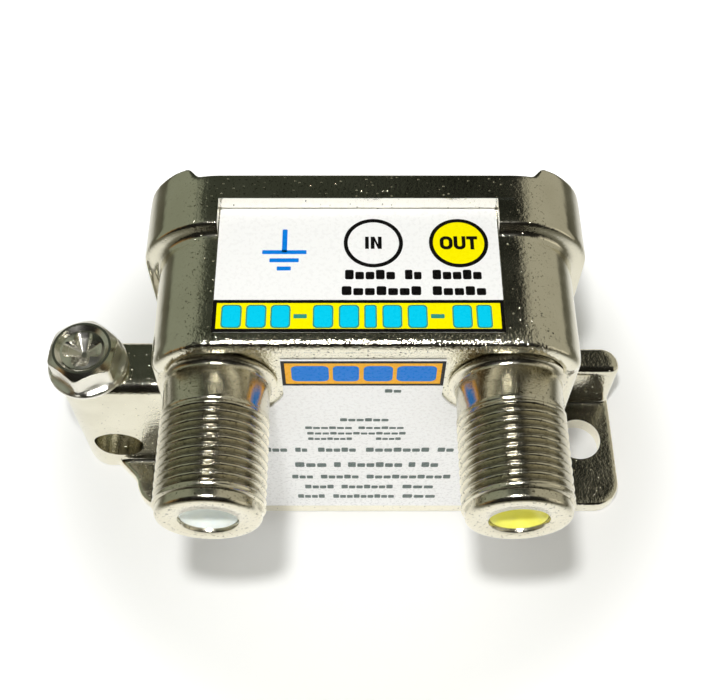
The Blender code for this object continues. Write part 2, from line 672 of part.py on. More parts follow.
def ground_spring():
    """Bowed leaf from the board's ground pad to the cover plate."""
    bronze = material("spring_bronze", (0.78, 0.55, 0.30), 0.25, 1.0)
    low = BOARD_BACK_Y + FIT
    high = SEAT_Y - SPRING_THICKNESS
    foot = [(-SPRING_SPAN / 2 - SPRING_FOOT, 0.0)]
    bow = []
    steps = 12
    for k in range(steps + 1):
        share = k / steps
        bow.append((-SPRING_SPAN / 2 + SPRING_SPAN * share, math.sin(math.pi * share) ** 2))
    centre_line = foot + bow + [(SPRING_SPAN / 2 + SPRING_FOOT, 0.0)]
    near = [(x, low + (high - low) * lift) for x, lift in centre_line]
    far = [(x, y + SPRING_THICKNESS) for x, y in reversed(near)]
    base = SPRING_HEIGHT - SPRING_WIDTH / 2
    return finish_mesh("ground_spring", prism(near + far, on_floor, base, base + SPRING_WIDTH), bronze)


def surge_tube():
    """Ceramic ring of the gas tube, open at both ends for its electrodes."""
    ceramic = material("alumina_ceramic", (0.85, 0.84, 0.80), 0.35, 0.0)
    half = TUBE_LENGTH / 2
    outer = TUBE_DIAMETER / 2
    inner = outer - TUBE_WALL
    rings = []
    for radius, x in ((inner, -half), (outer, -half), (outer, half), (inner, half)):
        rings.append([(x, y, z) for y, z in circle(TUBE_Y, TUBE_HEIGHT, radius, 32)])
    return finish_mesh("surge_tube", loft(rings, closed=True), ceramic)


def surge_electrode(name, side):
    """Metal electrode that caps one end of the gas tube, with its bent wire."""
    nickel_iron = material("electrode_metal", (0.60, 0.58, 0.55), 0.3, 1.0)
    seat = side * (TUBE_LENGTH / 2 + FIT)
    cap_out = seat + side * CAP_THICKNESS
    plug_end = side * TUBE_LENGTH * 0.12
    plug = TUBE_DIAMETER / 2 - TUBE_WALL - FIT
    wire = LEAD_DIAMETER / 2
    stations = [(plug, plug_end), (plug, seat), (CAP_DIAMETER / 2, seat), (CAP_DIAMETER / 2, cap_out),
                (wire, cap_out)]
    rings = []
    for radius, x in stations:
        rings.append([(x, y, z) for y, z in circle(TUBE_Y, TUBE_HEIGHT, radius, SMALL_STEPS)])
    turn_x = lead_place(side) - side * LEAD_BEND
    for k in range(CORNER_STEPS + 1):
        angle = math.radians(90 * k / CORNER_STEPS)
        centre = (turn_x + side * LEAD_BEND * math.sin(angle), TUBE_Y + LEAD_BEND * (1 - math.cos(angle)))
        ring = []
        for y, z in circle(0, 0, wire, SMALL_STEPS):
            ring.append((centre[0] - side * y * math.sin(angle), centre[1] + y * math.cos(angle),
                         TUBE_HEIGHT + z))
        rings.append(ring)
    end = BOARD_BACK_Y + WIRE_PAST_BOARD
    rings.append([(lead_place(side) - side * y, end, TUBE_HEIGHT + z)
                  for y, z in circle(0, 0, wire, SMALL_STEPS)])
    return finish_mesh("surge_electrode_" + name, loft(rings), nickel_iron)


def top_label():
    """Printed label in its recess on the top face."""
    vinyl = material("label_vinyl", (0.9, 0.9, 0.88), 0.3, 0.0)
    front = FRONT_Y + TOP_LABEL_SETBACK
    half = TOP_LABEL_WIDTH / 2
    outline = box_outline(TOP_LABEL_X - half, front, TOP_LABEL_X + half, front + TOP_LABEL_DEPTH)
    base = BODY_HEIGHT - RECESS_FLOOR + FIT
    return finish_mesh("top_label", prism(outline, on_floor, base, base + LABEL_THICKNESS), vinyl)


def front_label():
    """Printed label on the front wall, cut clear of both ports."""
    vinyl = material("label_vinyl", (0.9, 0.9, 0.88), 0.3, 0.0)
    port_x = PORT_PITCH / 2
    band = BAND_WIDTH / 2
    wide = FRONT_LABEL_WIDTH / 2
    inner = math.degrees(math.acos((band - port_x) / PORT_CLEAR_RADIUS))
    outer = math.degrees(math.acos((wide - port_x) / PORT_CLEAR_RADIUS))
    top = PORT_HEIGHT + BAND_TOP_RISE
    right = arc(port_x, PORT_HEIGHT, PORT_CLEAR_RADIUS, -outer, -inner, 2 * CORNER_STEPS)
    half = [(wide, FRONT_LABEL_BASE)] + right + [(band, top)]
    outline = [(PORT_MIDDLE_X + x, z) for x, z in half]
    outline += [(PORT_MIDDLE_X - x, z) for x, z in reversed(half)]
    back = FRONT_Y - FIT
    return finish_mesh("front_label", prism(outline, on_front, back - LABEL_THICKNESS, back), vinyl)


def ground_screw():
    """Hex washer head screw that clamps the ground wire."""
    plated = material("zinc_plated_steel", (0.66, 0.63, 0.58), 0.22, 1.0)
    seat = LUG_HEIGHT + FIT
    shank = SCREW_DIAMETER / 2
    washer = WASHER_DIAMETER / 2
    washer_top = seat + WASHER_THICKNESS
    head_top = seat + HEAD_HEIGHT
    flat = HEAD_FLATS / 2
    tip = seat - SCREW_LENGTH

    def round_ring(radius, z):
        return [(x, y, z) for x, y in circle(SCREW_X, SCREW_Y, radius)]

    def hex_ring(z, limit):
        ring = []
        for c, s in circle(0, 0, 1):
            from_flat = (math.degrees(math.atan2(s, c)) - HEAD_TURN) % HEX_SIDE - HEX_SIDE / 2
            radius = min(flat / math.cos(math.radians(from_flat)), limit)
            ring.append((SCREW_X + radius * c, SCREW_Y + radius * s, z))
        return ring

    corner = flat / math.cos(math.radians(HEX_SIDE / 2))
    rings = [round_ring(shank * 0.7, tip), round_ring(shank, tip + shank * 0.5), round_ring(shank, seat),
             round_ring(washer, seat), round_ring(washer, seat + WASHER_THICKNESS * 0.5),
             hex_ring(washer_top, corner), hex_ring(head_top - HEAD_BEVEL, corner),
             hex_ring(head_top, flat - HEAD_BEVEL * 0.3)]
    made = finish_mesh("ground_screw", loft(rings), plated, 25)
    half_length = RECESS_LENGTH / 2
    half_width = RECESS_WIDTH / 2
    cuts = []
    for name, a, b in (("recess_long", half_length, half_width), ("recess_cross", half_width, half_length)):
        outline = box_outline(SCREW_X - a, SCREW_Y - b, SCREW_X + a, SCREW_Y + b)
        cuts.append((name, prism(outline, on_floor, head_top - RECESS_DEPTH, head_top + CUT_PAST)))
    combine(made, "DIFFERENCE", cuts)
    return made


def build():
    clear_scene()
    white = material("insulator_natural", (0.84, 0.88, 0.90), 0.35, 0.0)
    yellow = material("insulator_yellow", (0.80, 0.75, 0.10), 0.35, 0.0)
    housing()
    cover_plate()
    for name, x in PORTS.items():
        port_barrel(name, x)
        insulator(name, x, white if name == "in" else yellow)
        contact(name, x)
        rear_bead(name, x)
    circuit_board()
    for number, x in enumerate(coil_places(), start=1):
        filter_coil(number, x)
    for number in range(1, CHIP_COUNT + 1):
        chip_capacitor(number, (number - (CHIP_COUNT + 1) / 2) * CHIP_PITCH)
    shield_partition()
    ground_spring()
    surge_tube()
    surge_electrode("line", -1)
    surge_electrode("earth", 1)
    top_label()
    front_label()
    ground_screw()


build()
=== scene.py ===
"""Looks of a coax lightning arrestor: plated casting, threaded ports, printed labels, clamp screw."""

import math

import bmesh
import bpy
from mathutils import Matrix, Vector


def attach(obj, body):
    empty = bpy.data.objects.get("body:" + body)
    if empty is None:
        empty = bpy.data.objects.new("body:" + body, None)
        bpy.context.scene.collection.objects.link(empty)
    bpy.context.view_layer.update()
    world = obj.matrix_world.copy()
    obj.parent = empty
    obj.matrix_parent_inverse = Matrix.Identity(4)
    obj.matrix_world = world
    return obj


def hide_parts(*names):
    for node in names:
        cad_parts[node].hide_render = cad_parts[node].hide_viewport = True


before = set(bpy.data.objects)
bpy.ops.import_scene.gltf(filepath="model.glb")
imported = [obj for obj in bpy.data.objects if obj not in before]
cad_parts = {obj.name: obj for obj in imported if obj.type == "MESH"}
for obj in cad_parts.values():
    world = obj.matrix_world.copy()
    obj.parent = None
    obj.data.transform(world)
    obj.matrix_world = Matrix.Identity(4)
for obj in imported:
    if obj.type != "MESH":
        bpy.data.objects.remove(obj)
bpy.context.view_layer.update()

# Sizes are in metres, by way of MM, and angles in degrees
MM = 0.001

# Camera, fitted to the photograph's port circles and thread
FRAME_WIDTH = 703
FOCAL_PIXELS = 1100
SENSOR = 36.0
CAMERA_PLACE = (-1.25 * MM, -54.65 * MM, 114.1 * MM)
CAMERA_TILT = 30.5

# Body casting
HALF_WIDTH = 18.55 * MM
BODY_HEIGHT = 37.2 * MM
FRONT_Y = -8.15 * MM
BACK_Y = 8.15 * MM
SHOULDER = 5.8 * MM
EDGE = 0.7 * MM
RIM_Y = 2.45 * MM
RIM_STEP = 0.32 * MM
RIM_TOP = 1.2 * MM
RIM_SIDE = 1.45 * MM
RIM_EDGE = 0.6 * MM
LIP_RADIUS = 1.1 * MM
LIP_STAND = 0.8 * MM
LIP_TAPER = 3.5 * MM
LIP_UNDERSIDE = 0.45
LIP_SQUARENESS = 0.55
PAD_START = 17
PAD_SWEEP = 60
PAD_RAMP = 6.5
PAD_WIDTH = 1.4 * MM
PAD_DEPTH = 1.0 * MM

# Casting's skin: worn beside its outer walls, painted pit shade in its upper part, roughest on the lip's
# front
WORN_WALL = HALF_WIDTH - 0.5 * MM
WORN_BAND = (2.0 * MM, 3.2 * MM)
PIT_SHADE_HEIGHTS = (20 * MM, 26 * MM)
ROUGH_FRONT = (FRONT_Y + 1.35 * MM, FRONT_Y + 0.35 * MM)
ROUGH_LIP = (BODY_HEIGHT - 2.3 * MM, BODY_HEIGHT - 1.8 * MM)

# Foot, rib and lug of the casting
FOOT_TOP = 2.0 * MM
FOOT_RIGHT = 28.3 * MM
FOOT_LEFT = -24.95 * MM
FOOT_CORNER = 3.0 * MM
FOOT_EDGE = 0.35 * MM
FOOT_STEP = 0.15 * MM
FOOT_SETBACK = 0.3 * MM
POST_BASE = 0.15 * MM
FLARE_REACH = 2.55 * MM
FLARE_DEPTH = 2.6 * MM
MOUNT_HOLE = (24.35 * MM, -0.3 * MM)
MOUNT_RADIUS = 2.45 * MM
RIB_TOP = 9.3 * MM
RIB_THICKNESS = 3.2 * MM
RIB_SETBACK = 0.5 * MM
RIB_ROUND = 1.0 * MM
LUG_LEFT = -31.15 * MM
LUG_THICKNESS = 6.2 * MM
LUG_Y = 0.35 * MM
LUG_TOP = 18.0 * MM
LUG_ROUND = 1.5 * MM
WIRE_HOLE = (-26.55 * MM, 5.7 * MM)
WIRE_RADIUS = 2.65 * MM

# Cavity behind the cover
WALL = 2.0 * MM
FRONT_WALL = 2.4 * MM
FLOOR = 2.5 * MM
LEDGE = 1.6 * MM
LEDGE_Y = FRONT_Y + FRONT_WALL + 6.2 * MM
SEAT_Y = BACK_Y - 1.25 * MM
SEAT = 1.0 * MM
CAVITY_CORNER = 2.0 * MM
CAVITY_TOP = BODY_HEIGHT - 2.5 * MM
COVER_EDGE = 0.25 * MM

# Casting's mesh
CAST_VOXEL = 0.22 * MM
CAST_SMOOTHING = 5
CAST_SOFTENING = 0.5
CAST_SHARE = 0.5
PAST = 1.0 * MM

# Ports
PORTS = {"in": -12.95 * MM, "out": 12.45 * MM}
PORT_Z = 29.7 * MM
PORT_END = -21.15 * MM
PORT_RADIUS = 4.7 * MM
COLLAR_RADIUS = 5.2 * MM
COLLAR_BACK = -8.25 * MM
COLLAR_EDGE = 0.3 * MM
COLLAR_BURR = 0.05 * MM
COLLAR_FLARE = 0.6 * MM
NECK_RADIUS = 4.6 * MM
NECK_END = -12.05 * MM
NECK_RUNOUT = 0.3 * MM
THREAD_END = -20.05 * MM
THREAD_PITCH = 0.794 * MM
THREAD_DEPTH = 0.46 * MM
CREST_DEPTH = 0.1 * MM
THREAD_ROOT = 0.1
THREAD_FLANK = 0.75
NOSE_RADIUS = 4.475 * MM
NOSE_ROUND = 0.55 * MM
NOSE_CHAMFER = 0.1 * MM
MOUTH_RADIUS = 2.52 * MM
MOUTH_EDGE = 0.05 * MM
MOUTH_LIP = 0.9 * MM
BORE_RADIUS = 3.35 * MM
SHANK_RADIUS = 4.5 * MM
SHANK_END = -5.15 * MM
FIT = 0.25 * MM

# Insulator in the mouth
MOUTH_FIT = 0.04 * MM
DISH_EDGE = 0.3 * MM
DISH_RIM = 0.12 * MM
DISH_ROLL = 0.1 * MM
DISH_DEPTH = 1.3 * MM
DISH_CURVE = 1.9
GUIDE_RADIUS = 0.6 * MM
GUIDE_LENGTH = 1.0 * MM
CONTACT_RADIUS = 1.1 * MM
INSULATOR_END = 11.0 * MM

# Ground screw
SCREW = (-27.6 * MM, 0.0)
SCREW_SEAT = 18.25 * MM
SCREW_LENGTH = 9.5 * MM
SHANK = 2.085 * MM
SCREW_DEPTH = 0.36 * MM
SCREW_TIP = 0.35 * MM
SCREW_LEAD = 0.5 * MM
SCREW_RUNOUT = 0.4 * MM
FLANGE_RADIUS = 3.95 * MM
FLANGE_TOP = 0.8 * MM
FLANGE_UNDERCUT = 0.15 * MM
FLANGE_WEAR = 0.12 * MM
HEAD_FILLET = ((0, 0.25 * MM), (0.15 * MM, 0.06 * MM), (0.35 * MM, 0))
HEAD_TOP = 3.5 * MM
HEAD_FLAT = 3.175 * MM
HEAD_CREST = HEAD_FLAT + 0.45 * MM
HEAD_CHAMFER = 0.75 * MM
HEAD_FACE = HEAD_FLAT - 0.55 * MM
HEAD_WORN = 27
HEAD_TURN = 22
HEAD_DOME = 0.5 * MM
RECESS_DEPTH = 1.3 * MM
RECESS_MOUTH = (2.365 * MM, 0.99 * MM)
RECESS_ABOVE = (2.58 * MM, 1.045 * MM)
RECESS_FOOT = (0.258 * MM, 0.22 * MM)

# Labels and their print
INK = 0.02 * MM
TOP_LABEL = (-12.75 * MM, -7.62 * MM, 11.42 * MM, 5.05 * MM)
TOP_LABEL_Z = 37.15 * MM
FRONT_LABEL_Y = -8.37 * MM
VINYL = 0.2 * MM
LABEL_SPACE = 0.06 * MM
WALL_DRAFT = 0.15 * MM
LABEL_LINE = 0.3 * MM
LETTER_WIDTHS = {"I": 0.25, "N": 0.74, "O": 0.8, "U": 0.74, "T": 0.68}
LETTER_STROKE = 0.32 * MM
SMALL_LETTER = 0.78
LETTER_SHARE = 0.84

# Top label's print; the words, the band's bars and the ground symbol are in mm
TOP_CORNER = 0.25 * MM
TOP_BAND = -4.5 * MM
UNDER_LINE = 0.1 * MM
CIRCLE_Y = 1.37 * MM
IN_X = 0.63 * MM
OUT_X = 7.97 * MM
CIRCLE_RADIUS = 2.55 * MM
CIRCLE_LINE = 0.34 * MM
PORT_NAMES = (("IN", IN_X - 0.71 * MM, CIRCLE_Y - 0.63 * MM, 1.27 * MM, 0.17 * MM),
              ("OUT", OUT_X - 1.62 * MM, CIRCLE_Y - 0.69 * MM, 1.38 * MM, 0.09 * MM))
TOP_WORDS = ((-2.4, -1.44, [(-1.8, 2.57, 5), (3.27, 4.79, 2), (5.61, 9.89, 5)]),
             (-4.0, -3.11, [(-2.07, 4.75, 7), (5.56, 10.18, 5)]))
BAND_BARS = ((-12.05, -10.35), (-10.0, -8.3), (-7.95, -6.3), (-4.45, -2.75), (-2.3, -0.6), (-0.2, 0.85),
             (1.3, 2.95), (3.4, 5.05), (7.1, 8.75), (9.1, 10.4))
BAND_LOW = -7.25
BAND_HIGH = -4.98
BAND_RIM = 0.12
DASHES = ((-6.05, -4.95), (5.32, 6.45))
DASH_LOW = -6.3
DASH_HIGH = -5.9
SYMBOL_X = -7.0
SYMBOL_STEM = (0.22, 0.4, 2.8)
SYMBOL_BARS = (1.9, 1.25, 0.6)
SYMBOL_LOW = 0.2
SYMBOL_HEIGHT = 0.4
SYMBOL_STEP = 0.85

# Front label, measured from the middle between the ports; its words and bars are in mm
FRONT_TOP = 33.71 * MM
FRONT_BASE = FOOT_TOP + 0.1 * MM
FRONT_WIDE = 15.0 * MM
FRONT_NARROW = 7.05 * MM
PORT_CLEARANCE = 5.9 * MM
CUT_Z = PORT_Z - 0.4 * MM
ORANGE_LOW = 29.46 * MM
ORANGE_HIGH = FRONT_TOP - 0.05 * MM
ORANGE_HALF = FRONT_NARROW - 0.03 * MM
BLUE_BARS = ((-6.42, -3.2), (-2.85, -0.6), (-0.2, 2.3), (2.65, 6.06))
BLUE_LOW = 30.24
BLUE_HIGH = 32.87
FRONT_WORDS = (
    (28.42, 0.6, [(1.7, 3.28, 2)]),
    (22.78, 0.6, [(-2.31, 2.31, 6)]),
    (21.12, 0.5, [(-5.61, -1.1, 6), (-0.6, 3.77, 6)]),
    (19.95, 0.5, [(-5.46, 4.01, 13)]),
    (18.77, 0.5, [(-5.41, -1.11, 7), (1.09, 3.58, 4)]),
    (16.31, 0.9, [(-9.78, -7.44, 3), (-6.76, -5.49, 2), (-4.52, -0.71, 5), (0.16, 6.5, 7), (7.19, 8.9, 2)]),
    (12.81, 1.1, [(-6.92, -3.6, 3), (-3.0, -2.2, 1), (-1.6, 4.0, 6), (4.5, 5.3, 1), (5.8, 7.62, 2)]),
    (9.86, 0.9, [(-7.35, -5.1, 3), (-4.4, -0.4, 5), (0.3, 9.06, 10)]),
    (7.3, 0.9, [(-6.11, -3.0, 4), (-2.3, 3.2, 7), (4.1, 7.48, 3)]),
    (4.77, 0.9, [(-6.95, -4.0, 4), (-3.2, 3.4, 9), (4.2, 7.86, 3)]))

# Table: a sheet of paper whose glow keeps its ground white and is held back near the object
TABLE_HALF = 300 * MM
SHEET_EDGE = (45 * MM, 110 * MM)
GLOW_REACH = (28 * MM, 48 * MM)
GLOW = (0.16, 0.8)
GLOW_IN_METAL = 0.31

# Room as metal sees it, by direction: X to the right, Y away from the camera
ROOM_MIDDLE = -0.05
ROOM_WALLS = (0.26, 0.5)
ROOM_ENDS = (0.7, 0.95)
ROOM_WINDOW = (-0.05, 0.18)
ROOM_FRONT = (-0.15, -0.4)

# Lamps: place, aim, size, watts, whether plain surfaces catch it and whether metal mirrors it
KEY_PLACE = (-10 * MM, -46 * MM, 157 * MM)
KEY_AIM = (0, 0, 20 * MM)
LAMPS = {"key": (KEY_PLACE, KEY_AIM, 10 * MM, 0.14, True, False),
         "key_in_metal": (KEY_PLACE, KEY_AIM, 28 * MM, 0.11, False, True),
         "fill": ((0, -540 * MM, 230 * MM), (0, 0, 0), 500 * MM, 1.32, True, False)}

# Facets
ROUND = 96
CORNER = 16


def linear(colour):
    """sRGB hex colour as a linear RGBA value."""
    parts = [int(colour[i:i + 2], 16) / 255 for i in (1, 3, 5)]
    return [c / 12.92 if c <= 0.04045 else ((c + 0.055) / 1.055) ** 2.4 for c in parts] + [1.0]


def add(tree, kind, sockets, **settings):
    """Adds a node; sockets maps an input to a value or to another node's output."""
    made = tree.nodes.new("ShaderNode" + kind)
    for name, value in settings.items():
        setattr(made, name, value)
    for name, value in sockets.items():
        if isinstance(value, bpy.types.NodeSocket):
            tree.links.new(value, made.inputs[name])
        else:
            made.inputs[name].default_value = value
    return made


def per(size_mm):
    """Texture scale at which one feature measures size_mm on the object."""
    return 1 / (size_mm * MM)


def surface(name, **values):
    """New material, its tree, its shader with these plain values (_ for a space), and the piece's space."""
    made = bpy.data.materials.new(name)
    made.use_nodes = True
    tree = made.node_tree
    shader = tree.nodes["Principled BSDF"]
    for socket, value in values.items():
        shader.inputs[socket.replace("_", " ")].default_value = value
    return made, tree, shader, add(tree, "TexCoord", {}).outputs["Object"]


def link_finish(tree, shader, shade, gloss, bump):
    """Feeds a finish's colour, roughness and relief to its shader."""
    tree.links.new(shade.outputs[2], shader.inputs["Base Color"])
    tree.links.new(gloss.outputs[0], shader.inputs["Roughness"])
    tree.links.new(bump.outputs[0], shader.inputs["Normal"])


def mottle(tree, shader, pattern, dark, light, low, high, strength, depth_mm):
    """Lets one pattern vary a finish's colour, roughness and relief together."""
    shade = add(tree, "Mix", {0: pattern, 6: linear(dark), 7: linear(light)}, data_type="RGBA")
    gloss = add(tree, "MapRange", {"Value": pattern, "To Min": low, "To Max": high})
    bump = add(tree, "Bump", {"Height": pattern, "Strength": strength, "Distance": depth_mm * MM})
    link_finish(tree, shader, shade, gloss, bump)


def nickel_plated_casting():
    """Zinc alloy, die cast, tumbled and nickel plated: soft swells under a pebbled, pitted skin.

    The drum wore it smooth along the outer walls. Dark specks of painted pit shade show in the upper part,
    the lip's front is the roughest, and the recess's rear wall is painted near white, a painted reflection
    of the white label in front of it.
    """
    made, tree, shader, place = surface("nickel_plated_casting", Metallic=1.0)
    axes = add(tree, "SeparateXYZ", {0: place})
    aside = add(tree, "Math", {0: axes.outputs["X"]}, operation="ABSOLUTE")
    # Worn along both outer walls, as cast between them
    from_wall = add(tree, "Math", {0: aside.outputs[0], 1: WORN_WALL}, operation="SUBTRACT")
    distance = add(tree, "Math", {0: from_wall.outputs[0]}, operation="ABSOLUTE")
    as_cast = add(tree, "MapRange", {"Value": distance.outputs[0], "From Min": WORN_BAND[0],
                                     "From Max": WORN_BAND[1], "To Min": 0.15, "To Max": 1.0})
    # Pebbles, slow swells, and shallow pits in some cells of the skin
    pebble = add(tree, "TexNoise", {"Vector": place, "Scale": per(0.3), "Detail": 2.0, "Roughness": 0.6})
    swell = add(tree, "TexNoise", {"Vector": place, "Scale": per(3.0), "Detail": 3.0})
    pits = add(tree, "TexVoronoi", {"Vector": place, "Scale": per(0.45), "Randomness": 1.0})
    pit_wall = add(tree, "MapRange", {"Value": pits.outputs["Distance"], "From Max": 0.22})
    chosen = add(tree, "SeparateColor", {"Color": pits.outputs["Color"]})
    filled = add(tree, "Math", {0: chosen.outputs["Red"], 1: 0.4}, operation="GREATER_THAN")
    pit_depth = add(tree, "Math", {0: pit_wall.outputs[0], 1: filled.outputs[0]}, operation="MAXIMUM")
    bright = add(tree, "Mix", {0: swell.outputs["Fac"], 6: linear("#d6d1bd"), 7: linear("#ede9d8")},
                 data_type="RGBA")
    # Painted shade of pinholes: dark specks in the upper part, coarser than real ones so that they show
    grains = add(tree, "TexNoise", {"Vector": place, "Scale": per(0.28), "Detail": 2.0, "Roughness": 0.7})
    pit_shade_specks = add(tree, "MapRange", {"Value": grains.outputs["Fac"], "From Min": 0.6, "From Max": 0.7})
    upper = add(tree, "MapRange", {"Value": axes.outputs["Z"], "From Min": PIT_SHADE_HEIGHTS[0],
                                   "From Max": PIT_SHADE_HEIGHTS[1]})
    exposed = add(tree, "Math", {0: as_cast.outputs[0], 1: upper.outputs[0]}, operation="MULTIPLY")
    in_skin = add(tree, "Math", {0: pit_shade_specks.outputs[0], 1: exposed.outputs[0]}, operation="MULTIPLY")
    pit_shaded = add(tree, "Mix", {0: in_skin.outputs[0], 6: bright.outputs[2], 7: linear("#8a8470")},
                data_type="RGBA")
    # Painted reflection: the rear wall of the label's recess made near white, as if mirroring the white
    # label
    behind_label = add(tree, "Math", {0: axes.outputs["Y"], 1: TOP_LABEL[3] + WALL_DRAFT, 2: WALL_DRAFT},
                       operation="COMPARE")
    beside_label = add(tree, "Math", {0: aside.outputs[0], 1: WALL_DRAFT - TOP_LABEL[0]},
                       operation="LESS_THAN")
    painted_label_reflection = add(tree, "Math", {0: behind_label.outputs[0], 1: beside_label.outputs[0]},
                    operation="MULTIPLY")
    shade = add(tree, "Mix", {0: painted_label_reflection.outputs[0], 6: pit_shaded.outputs[2], 7: linear("#fffdf5")},
                data_type="RGBA")
    gloss = add(tree, "MapRange", {"Value": swell.outputs["Fac"], "From Min": 0.3, "From Max": 0.7,
                                   "To Min": 0.11, "To Max": 0.2})
    grain = add(tree, "Math", {0: pebble.outputs["Fac"], 1: 0.5, 2: pit_depth.outputs[0]},
                operation="MULTIPLY_ADD")
    # Stronger relief on the lip's front
    towards_front = add(tree, "MapRange", {"Value": axes.outputs["Y"], "From Min": ROUGH_FRONT[0],
                                           "From Max": ROUGH_FRONT[1], "To Min": 1.0, "To Max": 4.0})
    on_lip = add(tree, "MapRange", {"Value": axes.outputs["Z"], "From Min": ROUGH_LIP[0],
                                    "From Max": ROUGH_LIP[1], "To Min": 0.5, "To Max": 0.75})
    front = add(tree, "Math", {0: towards_front.outputs[0], 1: on_lip.outputs[0]}, operation="MULTIPLY")
    front_or_plain = add(tree, "Math", {0: front.outputs[0], 1: 1.0}, operation="MAXIMUM")
    rough = add(tree, "Math", {0: as_cast.outputs[0], 1: front_or_plain.outputs[0]}, operation="MULTIPLY")
    relief = add(tree, "Math", {0: grain.outputs[0], 1: rough.outputs[0]}, operation="MULTIPLY")
    height = add(tree, "Math", {0: swell.outputs["Fac"], 1: 0.8, 2: relief.outputs[0]},
                 operation="MULTIPLY_ADD")
    bump = add(tree, "Bump", {"Height": height.outputs[0], "Strength": 0.9, "Distance": 0.06 * MM})
    link_finish(tree, shader, shade, gloss, bump)
    return made


def nickel_plated_brass():
    """Brass, turned and threaded, then nickel plated: fine tool lines, painted pinhole shade, painted root
    shade.
    """
    made, tree, shader, place = surface("nickel_plated_brass", Metallic=1.0)
    along = add(tree, "Mapping", {"Vector": place, "Scale": (per(2.0), per(0.12), per(2.0))})
    lines = add(tree, "TexNoise", {"Vector": along.outputs[0], "Scale": 1.0, "Detail": 3.0})
    specks = add(tree, "TexNoise", {"Vector": place, "Scale": per(0.3), "Detail": 4.0, "Roughness": 0.7})
    bright = add(tree, "Mix", {0: specks.outputs["Fac"], 6: linear("#d9d3bf"), 7: linear("#e9e4d2")},
                 data_type="RGBA")
    # Painted shade of pinholes: dark specks all over the barrel
    grains = add(tree, "TexNoise", {"Vector": place, "Scale": per(0.25), "Detail": 2.0, "Roughness": 0.7})
    pit_shade_specks = add(tree, "MapRange", {"Value": grains.outputs["Fac"], "From Min": 0.6, "From Max": 0.68})
    pit_shaded = add(tree, "Mix", {0: pit_shade_specks.outputs[0], 6: bright.outputs[2], 7: linear("#8a8470")},
                data_type="RGBA")
    gloss = add(tree, "MapRange", {"Value": specks.outputs["Fac"], "From Min": 0.35, "From Max": 0.7,
                                   "To Min": 0.15, "To Max": 0.24})
    height = add(tree, "Math", {0: lines.outputs["Fac"], 1: 0.6, 2: specks.outputs["Fac"]},
                 operation="MULTIPLY_ADD")
    bump = add(tree, "Bump", {"Height": height.outputs[0], "Strength": 0.4, "Distance": 0.03 * MM})
    # Distance from the nearer port's axis, which tells a thread's root from its crest; the roots get
    # painted shade
    middle = (PORTS["in"] + PORTS["out"]) / 2
    from_middle = add(tree, "VectorMath", {0: place, 1: (middle, 0, PORT_Z)}, operation="SUBTRACT")
    either = add(tree, "VectorMath", {0: from_middle.outputs[0]}, operation="ABSOLUTE")
    half = (PORTS["out"] - PORTS["in"]) / 2
    from_port = add(tree, "VectorMath", {0: either.outputs[0], 1: (half, 0, 0)}, operation="SUBTRACT")
    flat = add(tree, "VectorMath", {0: from_port.outputs[0], 1: (1, 0, 1)}, operation="MULTIPLY")
    radius = add(tree, "VectorMath", {0: flat.outputs[0]}, operation="LENGTH")
    crest = add(tree, "MapRange", {"Value": radius.outputs["Value"], "From Min": PORT_RADIUS - THREAD_DEPTH,
                                   "From Max": PORT_RADIUS - CREST_DEPTH, "To Min": 0.42, "To Max": 1.0})
    level = add(tree, "SeparateXYZ", {0: place}).outputs["Y"]
    nose = add(tree, "Math", {0: level, 1: THREAD_END}, operation="LESS_THAN")
    neck = add(tree, "Math", {0: level, 1: NECK_END}, operation="GREATER_THAN")
    plain = add(tree, "Math", {0: nose.outputs[0], 1: neck.outputs[0]}, operation="MAXIMUM")
    clear_of_root_shade = add(tree, "Math", {0: plain.outputs[0], 1: crest.outputs[0]}, operation="MAXIMUM")
    # Painted shade: thread roots darkened, while the crests and the plain neck and nose stay bright
    shade = add(tree, "Mix", {0: clear_of_root_shade.outputs[0], 6: linear("#4a4740"), 7: pit_shaded.outputs[2]},
                data_type="RGBA")
    link_finish(tree, shader, shade, gloss, bump)
    return made


def plated_screw_steel():
    """Steel, cold headed and bright nickel plated: soft dents from the die, glossiest on the head's top."""
    made, tree, shader, place = surface("plated_screw_steel", Metallic=1.0)
    dents = add(tree, "TexNoise", {"Vector": place, "Scale": per(1.6), "Detail": 1.0})
    shade = add(tree, "Mix", {0: dents.outputs["Fac"], 6: linear("#e2dfd4"), 7: linear("#f4f1e6")},
                data_type="RGBA")
    height = add(tree, "SeparateXYZ", {0: place}).outputs["Z"]
    head_top = SCREW_SEAT + HEAD_TOP - HEAD_DOME
    gloss = add(tree, "MapRange", {"Value": height, "From Min": head_top - 0.1 * MM, "From Max": head_top,
                                   "To Min": 0.28, "To Max": 0.2})
    bump = add(tree, "Bump", {"Height": dents.outputs["Fac"], "Strength": 0.5, "Distance": 0.15 * MM})
    link_finish(tree, shader, shade, gloss, bump)
    return made


def rolled_metal(name, dark, light, low, high, grain_mm):
    """Rolled sheet or drawn wire: a satin that runs one way, from the rolls."""
    made, tree, shader, place = surface(name, Metallic=1.0)
    fine = per(grain_mm)
    along = add(tree, "Mapping", {"Vector": place, "Scale": (per(grain_mm * 20), fine, fine)})
    grain = add(tree, "TexNoise", {"Vector": along.outputs[0], "Scale": 1.0, "Detail": 3.0})
    mottle(tree, shader, grain.outputs["Fac"], dark, light, low, high, 0.2, 0.02)
    return made


def waxy_plastic(name, dark, light):
    """Polyethylene, moulded, or PTFE, turned: waxy, slightly see-through, with a soft gloss."""
    made, tree, shader, place = surface(name, IOR=1.51, Subsurface_Weight=0.35, Subsurface_Scale=0.6 * MM)
    shader.inputs["Subsurface Radius"].default_value = (1.0, 0.9, 0.7)
    cloud = add(tree, "TexNoise", {"Vector": place, "Scale": per(1.2), "Detail": 3.0})
    mottle(tree, shader, cloud.outputs["Fac"], dark, light, 0.12, 0.24, 0.12, 0.03)
    return made


